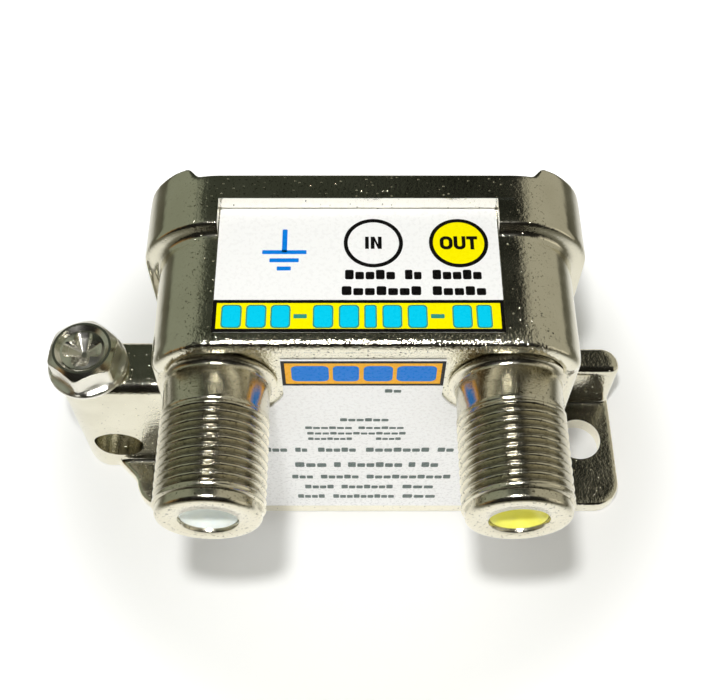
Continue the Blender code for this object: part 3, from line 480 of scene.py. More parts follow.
def printed_vinyl(name, colour, mottled, sheen=0.12):
    """Vinyl label stock or its screen print: even colour, faint orange peel; the inks shine less."""
    made, tree, shader, place = surface(name, IOR=1.5, Specular_IOR_Level=sheen)
    peel = add(tree, "TexNoise", {"Vector": place, "Scale": per(0.35), "Detail": 3.0, "Roughness": 0.6})
    mottle(tree, shader, peel.outputs["Fac"], mottled, colour, 0.22, 0.34, 0.02, 0.01)
    return made


def fired_ceramic(name, dark, light, grain_mm):
    """Pressed and fired ceramic: dry, fine grained, with small colour flecks."""
    made, tree, shader, place = surface(name, IOR=1.6)
    grain = add(tree, "TexNoise", {"Vector": place, "Scale": per(grain_mm), "Detail": 4.0})
    mottle(tree, shader, grain.outputs["Fac"], dark, light, 0.35, 0.55, 0.25, 0.02)
    return made


def masked_laminate():
    """Glass cloth and epoxy under green solder mask: the weave shows as a fine square grid."""
    made, tree, shader, place = surface("masked_laminate", IOR=1.55, Roughness=0.28)
    warp, weft = [add(tree, "TexWave", {"Vector": place, "Scale": per(3.0), "Distortion": 0.4},
                      bands_direction=axis) for axis in "XZ"]
    weave = add(tree, "Math", {0: warp.outputs["Fac"], 1: weft.outputs["Fac"]}, operation="MULTIPLY")
    shade = add(tree, "Mix", {0: weave.outputs[0], 6: linear("#0f4a26"), 7: linear("#1c6b3a")},
                data_type="RGBA")
    bump = add(tree, "Bump", {"Height": weave.outputs[0], "Strength": 0.2, "Distance": 0.02 * MM})
    tree.links.new(shade.outputs[2], shader.inputs["Base Color"])
    tree.links.new(bump.outputs[0], shader.inputs["Normal"])
    return made


def arc(centre_a, centre_b, radius, start, end, steps):
    """Points of an arc, angles in degrees, both ends included."""
    points = []
    for i in range(steps + 1):
        angle = math.radians(start + (end - start) * i / steps)
        points.append((centre_a + radius * math.cos(angle), centre_b + radius * math.sin(angle)))
    return points


def circle(centre_a, centre_b, radius, steps=ROUND):
    return arc(centre_a, centre_b, radius, 0, 360, steps)[:-1]


def rounded(corners, steps=CORNER):
    """Outline through (a, b, radius) corners, each turned into a tangent arc."""
    outline = []
    for i, (a, b, radius) in enumerate(corners):
        here = Vector((a, b))
        before = (Vector(corners[i - 1][:2]) - here).normalized()
        after = (Vector(corners[(i + 1) % len(corners)][:2]) - here).normalized()
        if radius <= 0:
            outline.append((a, b))
            continue
        half = before.angle(after) / 2
        middle = here + (before + after).normalized() * (radius / math.sin(half))
        first = here + before * (radius / math.tan(half)) - middle
        last = here + after * (radius / math.tan(half)) - middle
        turn = first.angle_signed(last)
        for k in range(steps + 1):
            angle = -turn * k / steps
            outline.append((middle.x + first.x * math.cos(angle) - first.y * math.sin(angle),
                            middle.y + first.x * math.sin(angle) + first.y * math.cos(angle)))
    return outline


def box_outline(low_a, low_b, high_a, high_b, radius=0.0, steps=CORNER):
    return rounded([(low_a, low_b, radius), (high_a, low_b, radius),
                    (high_a, high_b, radius), (low_a, high_b, radius)], steps)


def on_front(a, b, level):
    return (a, level, b)


def on_floor(a, b, level):
    return (a, b, level)


def loft(data, rings, closed=False):
    """Adds a solid through rings of equal point count; closed joins the last ring to the first."""
    made = [[data.verts.new(point) for point in ring] for ring in rings]
    pairs = list(zip(made, made[1:]))
    if closed:
        pairs.append((made[-1], made[0]))
    faces = []
    for near, far in pairs:
        for i in range(len(near)):
            j = (i + 1) % len(near)
            faces.append(data.faces.new((near[i], near[j], far[j], far[i])))
    if not closed:
        faces.append(data.faces.new(made[0]))
        faces.append(data.faces.new(made[-1]))
    bmesh.ops.recalc_face_normals(data, faces=faces)


def hollow(data, outer, inner, place, low, high):
    """Adds the slab between two outlines of equal point count."""
    loft(data, [[place(a, b, level) for a, b in outline]
                for outline, level in ((outer, low), (outer, high), (inner, high), (inner, low))],
         closed=True)


def prism(data, outline, place, low, high, bevel=0.0):
    """Adds a slab of an outline; bevel turns its far edge by that much."""
    if not bevel:
        loft(data, [[place(a, b, level) for a, b in outline] for level in (low, high)])
        return
    middle = Vector((sum(a for a, b in outline), sum(b for a, b in outline))) / len(outline)
    size = max((Vector(point) - middle).length for point in outline)
    rings = []
    for level, inset in ((low, 0), (high - bevel, 0), (high - bevel * 0.3, bevel * 0.3), (high, bevel)):
        share = 1 - inset / size
        rings.append([place(middle.x + (a - middle.x) * share, middle.y + (b - middle.y) * share, level)
                      for a, b in outline])
    loft(data, rings)


def to_object(name, data, sharp=38):
    mesh = bpy.data.meshes.new(name)
    data.to_mesh(mesh)
    data.free()
    mesh.shade_smooth()
    mesh.set_sharp_from_angle(angle=math.radians(sharp))
    made = bpy.data.objects.new(name, mesh)
    bpy.context.scene.collection.objects.link(made)
    return made


def settle(piece, sharp=38):
    """Turns a piece's modifiers into plain mesh."""
    shown = piece.evaluated_get(bpy.context.evaluated_depsgraph_get())
    mesh = bpy.data.meshes.new_from_object(shown)
    piece.modifiers.clear()
    piece.data = mesh
    mesh.shade_smooth()
    mesh.set_sharp_from_angle(angle=math.radians(sharp))


def cut(piece, data):
    """Cuts the solids in data out of a piece."""
    tool = to_object(piece.name + "_tool", data)
    step = piece.modifiers.new("cut", "BOOLEAN")
    step.operation = "DIFFERENCE"
    step.solver = "MANIFOLD"
    step.object = tool
    settle(piece)
    bpy.data.objects.remove(tool)


def dress(piece, finish, slot, body, *nodes):
    """Gives a piece its material, ties it to its body, and hides the nodes it stands for."""
    piece.data.materials.clear()
    piece.data.materials.append(finish)
    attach(piece, body)
    if nodes:
        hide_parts(*nodes)


def body_ring(y, inset, rim):
    half = HALF_WIDTH - inset + rim * RIM_SIDE
    top = BODY_HEIGHT - inset + rim * RIM_TOP
    shoulder = SHOULDER - inset + rim * RIM_TOP
    base = FOOT_TOP / 2
    outline = rounded([(-half, base, 0), (half, base, 0), (half, top, shoulder), (-half, top, shoulder)])
    return [on_front(a, b, y) for a, b in outline]


def add_body(data):
    """Arch-shaped body with soft front edges and the raised rim behind its smooth step."""
    turns = [math.radians(15 * k) for k in range(7)]
    rings = [body_ring(FRONT_Y + EDGE * (1 - math.cos(turn)), EDGE * (1 - math.sin(turn)), 0)
             for turn in turns]
    for k in range(13):
        share = k / 12
        rise = (1 - math.cos(math.pi * share)) / 2
        rings.append(body_ring(RIM_Y + RIM_STEP * (2 * share - 1), 0, rise))
    rings += [body_ring(BACK_Y - RIM_EDGE * (1 - math.sin(turn)), RIM_EDGE * (1 - math.cos(turn)), 1)
              for turn in turns]
    loft(data, rings)


def add_lip(data):
    """Rolled lip over the ports, square in section, thinning out as it runs down both sides."""
    corner = SHOULDER - LIP_RADIUS
    half = HALF_WIDTH - LIP_RADIUS
    top = BODY_HEIGHT - LIP_RADIUS
    start = PORT_Z
    drop = (top - corner) - start
    left = [(-half, start + drop * k / 8) for k in range(8)]
    bend_left = arc(-half + corner, top - corner, corner, 180, 90, CORNER)
    bend_right = arc(half - corner, top - corner, corner, 90, 0, CORNER)
    right = [(half, start + drop * k / 8) for k in range(7, -1, -1)]
    route = left + bend_left + bend_right + right
    rings = []
    for i, (x, z) in enumerate(route):
        ahead = Vector(route[min(i + 1, len(route) - 1)]) - Vector(route[max(i - 1, 0)])
        ahead.normalize()
        outward = Vector((-ahead.y, ahead.x))
        back = LIP_STAND * (1 - min(1.0, (z - start) / LIP_TAPER))
        ring = []
        for c, s in circle(0, 0, 1, 32):
            c = math.copysign(LIP_RADIUS * abs(c) ** LIP_SQUARENESS, c)
            s = math.copysign(LIP_RADIUS * abs(s) ** LIP_SQUARENESS, s)
            push = outward * (c * (1 if c > 0 else LIP_UNDERSIDE) - back)
            ring.append((x + push.x, FRONT_Y - LIP_STAND + LIP_RADIUS + back * 1.2 + s, z + push.y))
        rings.append(ring)
    loft(data, rings)


def foot_ring(level, inset):
    step = FOOT_STEP + inset
    lug_left = LUG_LEFT + step
    lug_front = LUG_Y - LUG_THICKNESS / 2 + step
    front = FRONT_Y - FOOT_STEP + inset
    back = BACK_Y - FOOT_SETBACK - inset
    right = FOOT_RIGHT - inset
    left = FOOT_LEFT + inset
    corner = FOOT_CORNER - inset
    outline = rounded([(left, front, corner), (right, front, corner), (right, back, corner),
                       (lug_left, back, corner), (lug_left, lug_front, LUG_THICKNESS / 2 - step),
                       (left - FLARE_REACH, lug_front, FOOT_CORNER * 0.2),
                       (left, lug_front - FLARE_DEPTH, FOOT_CORNER * 0.6)])
    return [on_floor(a, b, level) for a, b in outline]


def add_foot(data):
    levels = [(0, FOOT_EDGE * 0.6), (FOOT_EDGE * 0.6, 0)]
    for k in range(1, 5):
        turn = math.radians(90 * k / 4)
        levels.append((FOOT_TOP - FOOT_EDGE * (1 - math.sin(turn)), FOOT_EDGE * (1 - math.cos(turn))))
    loft(data, [foot_ring(level, inset) for level, inset in levels])


def add_post(data, outline_at, top, round_off):
    """Post that grows out of the foot, with its upper edge rounded off."""
    levels = [(POST_BASE, 0)]
    for k in range(7):
        turn = math.radians(15 * k)
        levels.append((top - round_off * (1 - math.sin(turn)), round_off * (1 - math.cos(turn))))
    loft(data, [[on_floor(a, b, level) for a, b in outline_at(inset)] for level, inset in levels])


def lug_outline(inset):
    radius = LUG_THICKNESS / 2 - inset
    inner = -HALF_WIDTH + WALL / 2
    end = arc(LUG_LEFT + LUG_THICKNESS / 2, LUG_Y, radius, 270, 90, 2 * CORNER)
    return end + [(inner, LUG_Y + radius), (inner, LUG_Y - radius)]


def rib_outline(inset):
    inner = HALF_WIDTH - WALL / 2
    front = BACK_Y - RIB_SETBACK - RIB_THICKNESS + inset
    back = BACK_Y - RIB_SETBACK - inset
    right = FOOT_RIGHT - inset
    return rounded([(inner, front, 0), (right, front, RIB_ROUND * 1.05 - inset),
                    (right, back, RIB_ROUND * 2 - inset), (inner, back, 0)])


def add_pad(data, side):
    """Thicker place in the rim round a top corner, flush with its outside."""
    corner = SHOULDER + RIM_TOP
    centre = (side * (HALF_WIDTH + RIM_SIDE - corner), BODY_HEIGHT + RIM_TOP - corner)
    rings = []
    for k in range(PAD_SWEEP + 1):
        angle = math.radians(90 - side * (PAD_START + k))
        depth = PAD_DEPTH * min(1, k / PAD_RAMP, (PAD_SWEEP - k) / PAD_RAMP)
        ring = []
        for radius, y in ((corner, BACK_Y - 2 * RIM_EDGE), (corner, BACK_Y + depth),
                          (corner - RIM_EDGE - PAD_WIDTH, BACK_Y + depth),
                          (corner - RIM_EDGE - PAD_WIDTH, BACK_Y - 2 * RIM_EDGE)):
            ring.append((centre[0] + radius * math.cos(angle), y, centre[1] + radius * math.sin(angle)))
        rings.append(ring)
    loft(data, rings)


def cavity(data):
    half = HALF_WIDTH - WALL
    inner = half - LEDGE
    prism(data, box_outline(-inner, FLOOR + LEDGE, inner, CAVITY_TOP - LEDGE, CAVITY_CORNER), on_front,
          FRONT_Y + FRONT_WALL, LEDGE_Y + PAST)


def label_recess(data):
    """Shallow pocket for the top label, whose rear wall leans back through the front of the rim."""
    low_x, low_y, high_x, high_y = TOP_LABEL
    rings = []
    for level, lean in ((TOP_LABEL_Z - VINYL - INK, 0), (BODY_HEIGHT + RIM_TOP, WALL_DRAFT),
                        (BODY_HEIGHT + RIM_TOP + PAST, WALL_DRAFT)):
        outline = box_outline(low_x - LABEL_SPACE, low_y - LABEL_SPACE, high_x + LABEL_SPACE,
                              high_y + LABEL_SPACE + lean, LABEL_SPACE, 6)
        rings.append([on_floor(a, b, level) for a, b in outline])
    loft(data, rings)


def housing():
    """Whole casting: overlapping solids fused into one skin whose seams soften to cast fillets."""
    data = bmesh.new()
    add_body(data)
    add_lip(data)
    add_foot(data)
    add_post(data, lug_outline, LUG_TOP, LUG_ROUND)
    add_post(data, rib_outline, RIB_TOP, RIB_ROUND)
    for side in (-1, 1):
        add_pad(data, side)
    piece = to_object("body_casting", data)
    skin = piece.modifiers.new("skin", "REMESH")
    skin.mode = "VOXEL"
    skin.voxel_size = CAST_VOXEL
    soften = piece.modifiers.new("soften", "SMOOTH")
    soften.factor = CAST_SOFTENING
    soften.iterations = CAST_SMOOTHING
    lighten = piece.modifiers.new("lighten", "DECIMATE")
    lighten.ratio = CAST_SHARE
    settle(piece)
    half = HALF_WIDTH - WALL
    tools = bmesh.new()
    cavity(tools)
    cut(piece, tools)
    tools = bmesh.new()
    prism(tools, box_outline(-half, FLOOR, half, CAVITY_TOP, CAVITY_CORNER), on_front,
          LEDGE_Y, SEAT_Y + PAST)
    label_recess(tools)
    for x in PORTS.values():
        prism(tools, circle(x, PORT_Z, SHANK_RADIUS + FIT), on_front, FRONT_Y - LIP_STAND - PAST,
              FRONT_Y + FRONT_WALL + PAST)
    prism(tools, circle(*MOUNT_HOLE, MOUNT_RADIUS), on_floor, -PAST, FOOT_TOP + PAST)
    prism(tools, circle(*SCREW, SHANK + FIT, 64), on_floor, WIRE_HOLE[1], LUG_TOP + PAST)
    cut(piece, tools)
    tools = bmesh.new()
    prism(tools, circle(*WIRE_HOLE, WIRE_RADIUS), on_front, LUG_Y - LUG_THICKNESS, LUG_Y + LUG_THICKNESS)
    prism(tools, box_outline(-half - SEAT, FLOOR - SEAT, half + SEAT, CAVITY_TOP + SEAT, CAVITY_CORNER),
          on_front, SEAT_Y, BACK_Y + PAD_DEPTH + PAST)
    cut(piece, tools)
    return piece


def cover_plate():
    """Stamped cover with a soft edge from the punch."""
    data = bmesh.new()
    half = HALF_WIDTH - WALL + SEAT - FIT
    outline = box_outline(-half, FLOOR - SEAT + FIT, half, CAVITY_TOP + SEAT - FIT, CAVITY_CORNER)
    prism(data, outline, on_front, SEAT_Y + FIT, BACK_Y, COVER_EDGE)
    return to_object("stamped_cover", data)


def thread_height(turns):
    """0 in the root and 1 on the narrow crest of a V thread, for a place counted in turns."""
    climb = 1 - abs(2 * (turns % 1) - 1)
    return min(1.0, max(0.0, (climb - THREAD_ROOT) / THREAD_FLANK))


def thread_rows(start, end, outer, pitch, depth, fade, per_turn=16):
    """Rings of a helical thread between two levels of its axis, as (radius by angle, level)."""
    count = max(2, round(abs(end - start) / pitch * per_turn))
    rows = []
    for k in range(count + 1):
        level = start + (end - start) * k / count
        run = min(1.0, abs(level - start) / fade, abs(end - level) / fade)
        radii = []
        for i in range(ROUND):
            turns = level / pitch + i / ROUND
            radii.append(outer - depth * run * (1 - thread_height(turns)))
        rows.append((radii, level))
    return rows


def turned_rings(rows, centre_a, centre_b, place):
    """Rings round an axis for rows of (radius by angle, level)."""
    turns = [2 * math.pi * i / ROUND for i in range(ROUND)]
    return [[place(centre_a + radius * math.cos(turn), centre_b + radius * math.sin(turn), level)
             for radius, turn in zip(radii, turns)] for radii, level in rows]


def port_barrel(name, x):
    """Turned barrel: thin collar, neck that flares into it, V thread, rounded nose and mouth."""
    collar_front = COLLAR_BACK - COLLAR_EDGE
    plain = [(SHANK_RADIUS, SHANK_END), (SHANK_RADIUS, COLLAR_BACK),
             (COLLAR_RADIUS - COLLAR_BURR, COLLAR_BACK), (COLLAR_RADIUS, COLLAR_BACK - COLLAR_BURR),
             (COLLAR_RADIUS, collar_front + COLLAR_BURR)]
    plain += arc(NECK_RADIUS + COLLAR_FLARE, collar_front - COLLAR_FLARE, COLLAR_FLARE, 90, 180, 10)
    plain.append((NECK_RADIUS, NECK_END + NECK_RUNOUT))
    rows = [([radius] * ROUND, level) for radius, level in plain]
    rows += thread_rows(NECK_END, THREAD_END, PORT_RADIUS, THREAD_PITCH, THREAD_DEPTH, THREAD_PITCH)
    nose = [(NOSE_RADIUS, THREAD_END - NOSE_CHAMFER)]
    nose += arc(NOSE_RADIUS - NOSE_ROUND, PORT_END + NOSE_ROUND, NOSE_ROUND, 0, -90, 8)
    nose += [(MOUTH_RADIUS + MOUTH_EDGE, PORT_END), (MOUTH_RADIUS, PORT_END + MOUTH_EDGE),
             (MOUTH_RADIUS, PORT_END + MOUTH_LIP), (BORE_RADIUS, PORT_END + MOUTH_LIP),
             (BORE_RADIUS, SHANK_END)]
    rows += [([radius] * ROUND, level) for radius, level in nose]
    data = bmesh.new()
    loft(data, turned_rings(rows, x, PORT_Z, on_front), closed=True)
    return to_object("threaded_port_" + name, data, 50)


def insulator(name, x):
    """Moulded insulator, dished towards its guide hole."""
    mouth = MOUTH_RADIUS - MOUTH_FIT
    body = BORE_RADIUS - FIT
    bore = CONTACT_RADIUS + FIT
    guide_start = PORT_END + DISH_EDGE + DISH_DEPTH
    guide_end = guide_start + GUIDE_LENGTH
    step = PORT_END + MOUTH_LIP + FIT
    end = PORT_END + INSULATOR_END
    profile = []
    for k in range(17):
        share = k / 16
        profile.append((GUIDE_RADIUS + (mouth - DISH_RIM - GUIDE_RADIUS) * share,
                        guide_start - DISH_DEPTH * share ** DISH_CURVE))
    profile += [(mouth, PORT_END + DISH_EDGE + DISH_ROLL), (mouth, step), (body, step), (body, end),
                (bore, end), (bore, guide_end), (GUIDE_RADIUS, guide_end)]
    data = bmesh.new()
    rings = [[on_front(a, b, y) for a, b in circle(x, PORT_Z, radius)] for radius, y in profile]
    loft(data, rings, closed=True)
    return to_object("mouth_insulator_" + name, data, 50)


def ground_screw():
    """Hex flange head over a threaded shank; its rim stands round a domed middle with a cross recess."""
    x, y = SCREW
    tip = SCREW_SEAT - SCREW_LENGTH
    rows = [([SHANK * 0.55] * ROUND, tip), ([SHANK * 0.8] * ROUND, tip + SCREW_TIP)]
    rows += thread_rows(tip + SCREW_LEAD, SCREW_SEAT - SCREW_RUNOUT, SHANK, THREAD_PITCH, SCREW_DEPTH,
                        THREAD_PITCH, 10)
    rows += [([SHANK] * ROUND, SCREW_SEAT), ([FLANGE_RADIUS - FLANGE_UNDERCUT] * ROUND, SCREW_SEAT),
             ([FLANGE_RADIUS] * ROUND, SCREW_SEAT + FLANGE_UNDERCUT),
             ([FLANGE_RADIUS] * ROUND, SCREW_SEAT + FLANGE_TOP * 0.6),
             ([FLANGE_RADIUS - FLANGE_WEAR] * ROUND, SCREW_SEAT + FLANGE_TOP * 0.85)]

    def hex_row(level, grow, limit):
        """Ring of the hexagon with its corners worn round, cut back to a limit by the top chamfer."""
        radii = []
        for i in range(ROUND):
            off = (360 * i / ROUND - HEAD_TURN) % 60 - 30
            flat = HEAD_FLAT + grow
            sharp = flat / math.cos(math.radians(off))
            corner = flat / math.cos(math.radians(HEAD_WORN))
            radii.append(min(sharp, corner, limit))
        return radii, level

    top = SCREW_SEAT + HEAD_TOP
    for rise, grow in HEAD_FILLET:
        rows.append(hex_row(SCREW_SEAT + FLANGE_TOP + rise, grow, FLANGE_RADIUS))
    for k in range(9):
        share = k / 8
        rows.append(hex_row(top - HEAD_CHAMFER * (1 - share), 0, HEAD_CREST - HEAD_CHAMFER * share))
    for k in range(6, 0, -1):
        dome = HEAD_DOME * (k / 6) ** 2 if k < 6 else 0
        rows.append(([HEAD_FACE * k / 6] * ROUND, top - dome))
    data = bmesh.new()
    loft(data, turned_rings(rows, x, y, on_floor))
    piece = to_object("clamp_screw", data, 30)
    for along in (0, 1):
        tool = bmesh.new()
        rings = []
        for level, (reach, half) in ((top + PAST, RECESS_ABOVE), (top, RECESS_MOUTH),
                                     (top - RECESS_DEPTH, RECESS_FOOT)):
            outline = box_outline(-reach, -half, reach, half, half * 0.6, 6)
            rings.append([(x + (a if along else b), y + (b if along else a), level) for a, b in outline])
        loft(tool, rings)
        cut(piece, tool)
    settle(piece, 30)
    return piece


# In what is printed, a layer is how an outline is placed and the two levels that its ink lies between
def frame_line(data, low_a, low_b, high_a, high_b, width, *layer):
    """Printed line round a box, drawn inside it."""
    outer = [(low_a, low_b), (high_a, low_b), (high_a, high_b), (low_a, high_b)]
    inner = [(low_a + width, low_b + width), (high_a - width, low_b + width),
             (high_a - width, high_b - width), (low_a + width, high_b - width)]
    hollow(data, outer, inner, *layer)


def ring_line(data, centre_a, centre_b, radius, width, *layer):
    """Printed ring, drawn inside a radius."""
    outer, inner = [circle(centre_a, centre_b, r) for r in (radius, radius - width)]
    hollow(data, outer, inner, *layer)


def bar(data, low_a, low_b, high_a, high_b, *layer):
    """Plain printed bar with soft corners; its sides are in mm."""
    radius = min(high_a - low_a, high_b - low_b) * 0.2
    outline = box_outline(low_a * MM, low_b * MM, high_a * MM, high_b * MM, radius * MM, 4)
    prism(data, outline, *layer)


def text_row(data, words, low_b, high_b, *layer):
    """Row of small print as letter-sized bars: one (start, end, letters) for each word, in mm."""
    small = low_b + (high_b - low_b) * SMALL_LETTER
    for start, end, letters in words:
        step = (end - start) / letters
        for i in range(letters):
            left = start + step * i
            top = high_b if i * 5 % 3 == 0 else small
            bar(data, left, low_b, left + step * LETTER_SHARE, top, *layer)


def letter(data, kind, left, base, height, stroke, *layer):
    """One bold condensed capital of the port names; returns its width."""
    width = height * LETTER_WIDTHS[kind]
    right = left + width
    top = base + height
    bend = width * 0.46
    if kind == "I":
        prism(data, box_outline(left, base, right, top), *layer)
    elif kind == "N":
        slope = height * 0.62
        prism(data, [(left, base), (left + stroke, base), (left + stroke, base + slope),
                     (right - stroke, base), (right, base), (right, top), (right - stroke, top),
                     (right - stroke, top - slope), (left + stroke, top), (left, top)], *layer)
    elif kind == "O":
        outer = box_outline(left, base, right, top, bend, 8)
        inner = box_outline(left + stroke, base + stroke, right - stroke, top - stroke, bend - stroke, 8)
        hollow(data, outer, inner, *layer)
    elif kind == "U":
        turns = ((left + bend, bend, 180, 270), (right - bend, bend, 270, 360),
                 (right - bend, bend - stroke, 360, 270), (left + bend, bend - stroke, 270, 180))
        bends = [arc(a, base + bend, radius, start, end, 8) for a, radius, start, end in turns]
        prism(data, [(left, top)] + bends[0] + bends[1] + [(right, top), (right - stroke, top)]
              + bends[2] + bends[3] + [(left + stroke, top)], *layer)
    else:
        stem = (width - stroke) / 2
        under = top - stroke
        prism(data, [(left, top), (left, under), (left + stem, under), (left + stem, base),
                     (right - stem, base), (right - stem, under), (right, under), (right, top)], *layer)
    return width


def port_name(data, text, left, base, height, gap, level):
    for kind in text:
        left += letter(data, kind, left, base, height, LETTER_STROKE, on_floor, level, level + INK) + gap


def label_layer(name, data, ink, *nodes):
    """Makes one colour of a label a piece of its own."""
    dress(to_object(name, data), ink, "label_vinyl", "block", *nodes)


def top_label(inks):
    """White stock, yellow band, port names in their circles, ground symbol; plain bars for other print."""
    low_x, low_y, high_x, high_y = TOP_LABEL
    z = TOP_LABEL_Z
    flat = (on_floor, z, z + INK)
    over = (on_floor, z, z + 2 * INK)
    data = bmesh.new()
    prism(data, box_outline(low_x, low_y, high_x, high_y, TOP_CORNER, 6), on_floor, z - VINYL, z)
    label_layer("top_label_stock", data, inks["white"], "top_label")

    yellow = bmesh.new()
    prism(yellow, box_outline(low_x + UNDER_LINE, low_y + UNDER_LINE, high_x - UNDER_LINE, TOP_BAND), *flat)
    prism(yellow, circle(OUT_X, CIRCLE_Y, CIRCLE_RADIUS - UNDER_LINE), *flat)
    label_layer("top_label_yellow", yellow, inks["yellow"])

    black = bmesh.new()
    frame_line(black, low_x, low_y, high_x, TOP_BAND, LABEL_LINE, *over)
    for x in (IN_X, OUT_X):
        ring_line(black, x, CIRCLE_Y, CIRCLE_RADIUS, CIRCLE_LINE, *over)
    for low, high, words in TOP_WORDS:
        text_row(black, words, low, high, *flat)
    label_layer("top_label_black", black, inks["black"])
    names = bmesh.new()
    for name in PORT_NAMES:
        port_name(names, *name, z + INK)
    label_layer("top_label_names", names, inks["black"])

    edge = bmesh.new()
    face = bmesh.new()
    for a, b in BAND_BARS:
        bar(edge, a, BAND_LOW, b, BAND_HIGH, on_floor, z, z + 1.5 * INK)
        bar(face, a + BAND_RIM, BAND_LOW + BAND_RIM, b - BAND_RIM, BAND_HIGH - BAND_RIM, *over)
    for a, b in DASHES:
        bar(edge, a, DASH_LOW, b, DASH_HIGH, *over)
    label_layer("top_label_teal", edge, inks["teal"])
    label_layer("top_label_cyan", face, inks["cyan"])

    symbol = bmesh.new()
    half, low, high = SYMBOL_STEM
    bar(symbol, SYMBOL_X - half, low, SYMBOL_X + half, high, *flat)
    for k, half in enumerate(SYMBOL_BARS):
        low = SYMBOL_LOW - k * SYMBOL_STEP
        bar(symbol, SYMBOL_X - half, low, SYMBOL_X + half, low + SYMBOL_HEIGHT, *flat)
    label_layer("top_label_blue", symbol, inks["blue"])


def front_label(inks):
    """White stock, cut round both ports and close to the wall: orange band above, grey print below."""
    middle = (PORTS["in"] + PORTS["out"]) / 2
    port = (PORTS["out"] - PORTS["in"]) / 2
    inner = math.degrees(math.acos((FRONT_NARROW - port) / PORT_CLEARANCE))
    outer = math.degrees(math.acos((FRONT_WIDE - port) / PORT_CLEARANCE))
    half = [(FRONT_WIDE, FRONT_BASE)] + arc(port, CUT_Z, PORT_CLEARANCE, -outer, -inner, 24)
    half.append((FRONT_NARROW, FRONT_TOP))
    outline = [(middle + a, b) for a, b in half] + [(middle - a, b) for a, b in reversed(half)]
    y = FRONT_LABEL_Y
    flat = (on_front, y, y - INK)
    over = (on_front, y, y - 2 * INK)
    data = bmesh.new()
    prism(data, outline, on_front, y + VINYL, y)
    label_layer("front_label_stock", data, inks["white"], "front_label")

    band = (middle - ORANGE_HALF, ORANGE_LOW, middle + ORANGE_HALF, ORANGE_HIGH)
    orange = bmesh.new()
    prism(orange, box_outline(*band), *flat)
    label_layer("front_label_orange", orange, inks["orange"])
    black = bmesh.new()
    frame_line(black, *band, LABEL_LINE, *over)
    label_layer("front_label_black", black, inks["black"])
    blue = bmesh.new()
    for a, b in BLUE_BARS:
        bar(blue, a, BLUE_LOW, b, BLUE_HIGH, *over)
    label_layer("front_label_blue", blue, inks["blue"])
    grey = bmesh.new()
    for z, height, words in FRONT_WORDS:
        text_row(grey, words, z - height / 2, z + height / 2, *flat)
    label_layer("front_label_grey", grey, inks["grey"])


def inner_parts():
    """Real finishes for the circuit inside, which keeps its solids as they are."""
    bronze = rolled_metal("spring_bronze", "#b5803f", "#cf9a55", 0.2, 0.34, 0.15)
    tinned = rolled_metal("electrode_nickel_iron", "#a9a59c", "#c6c2b8", 0.24, 0.4, 0.12)
    copper = rolled_metal("enamelled_copper", "#8c3d1a", "#b5552a", 0.12, 0.22, 0.2)
    ptfe = waxy_plastic("turned_ptfe", "#dcdcd8", "#efefec")
    alumina = fired_ceramic("pressed_alumina", "#dedbd2", "#ece9e1", 0.2)
    chip = fired_ceramic("chip_ceramic", "#8a6a48", "#a58560", 0.15)
    tinplate = rolled_metal("tinplate", "#a8a8a4", "#c4c4bf", 0.28, 0.42, 0.1)
    finishes = {"contact": bronze, "ground_spring": bronze, "rear_bead": ptfe,
                "circuit_board": masked_laminate(), "filter_coil": copper, "chip_capacitor": chip,
                "surge_tube": alumina, "surge_electrode": tinned, "shield_partition": tinplate}
    for name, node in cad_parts.items():
        for start, finish in finishes.items():
            if name.startswith(start):
                node.data.materials.clear()
                node.data.materials.append(finish)


def place_camera():
    scene = bpy.context.scene
    camera = bpy.data.cameras.new("camera")
    camera.sensor_width = SENSOR
    camera.lens = FOCAL_PIXELS / FRAME_WIDTH * SENSOR
    camera.clip_start = 1 * MM
    holder = bpy.data.objects.new("camera", camera)
    holder.location = CAMERA_PLACE
    holder.rotation_euler = (math.radians(CAMERA_TILT), 0, 0)
    scene.collection.objects.link(holder)
    scene.camera = holder


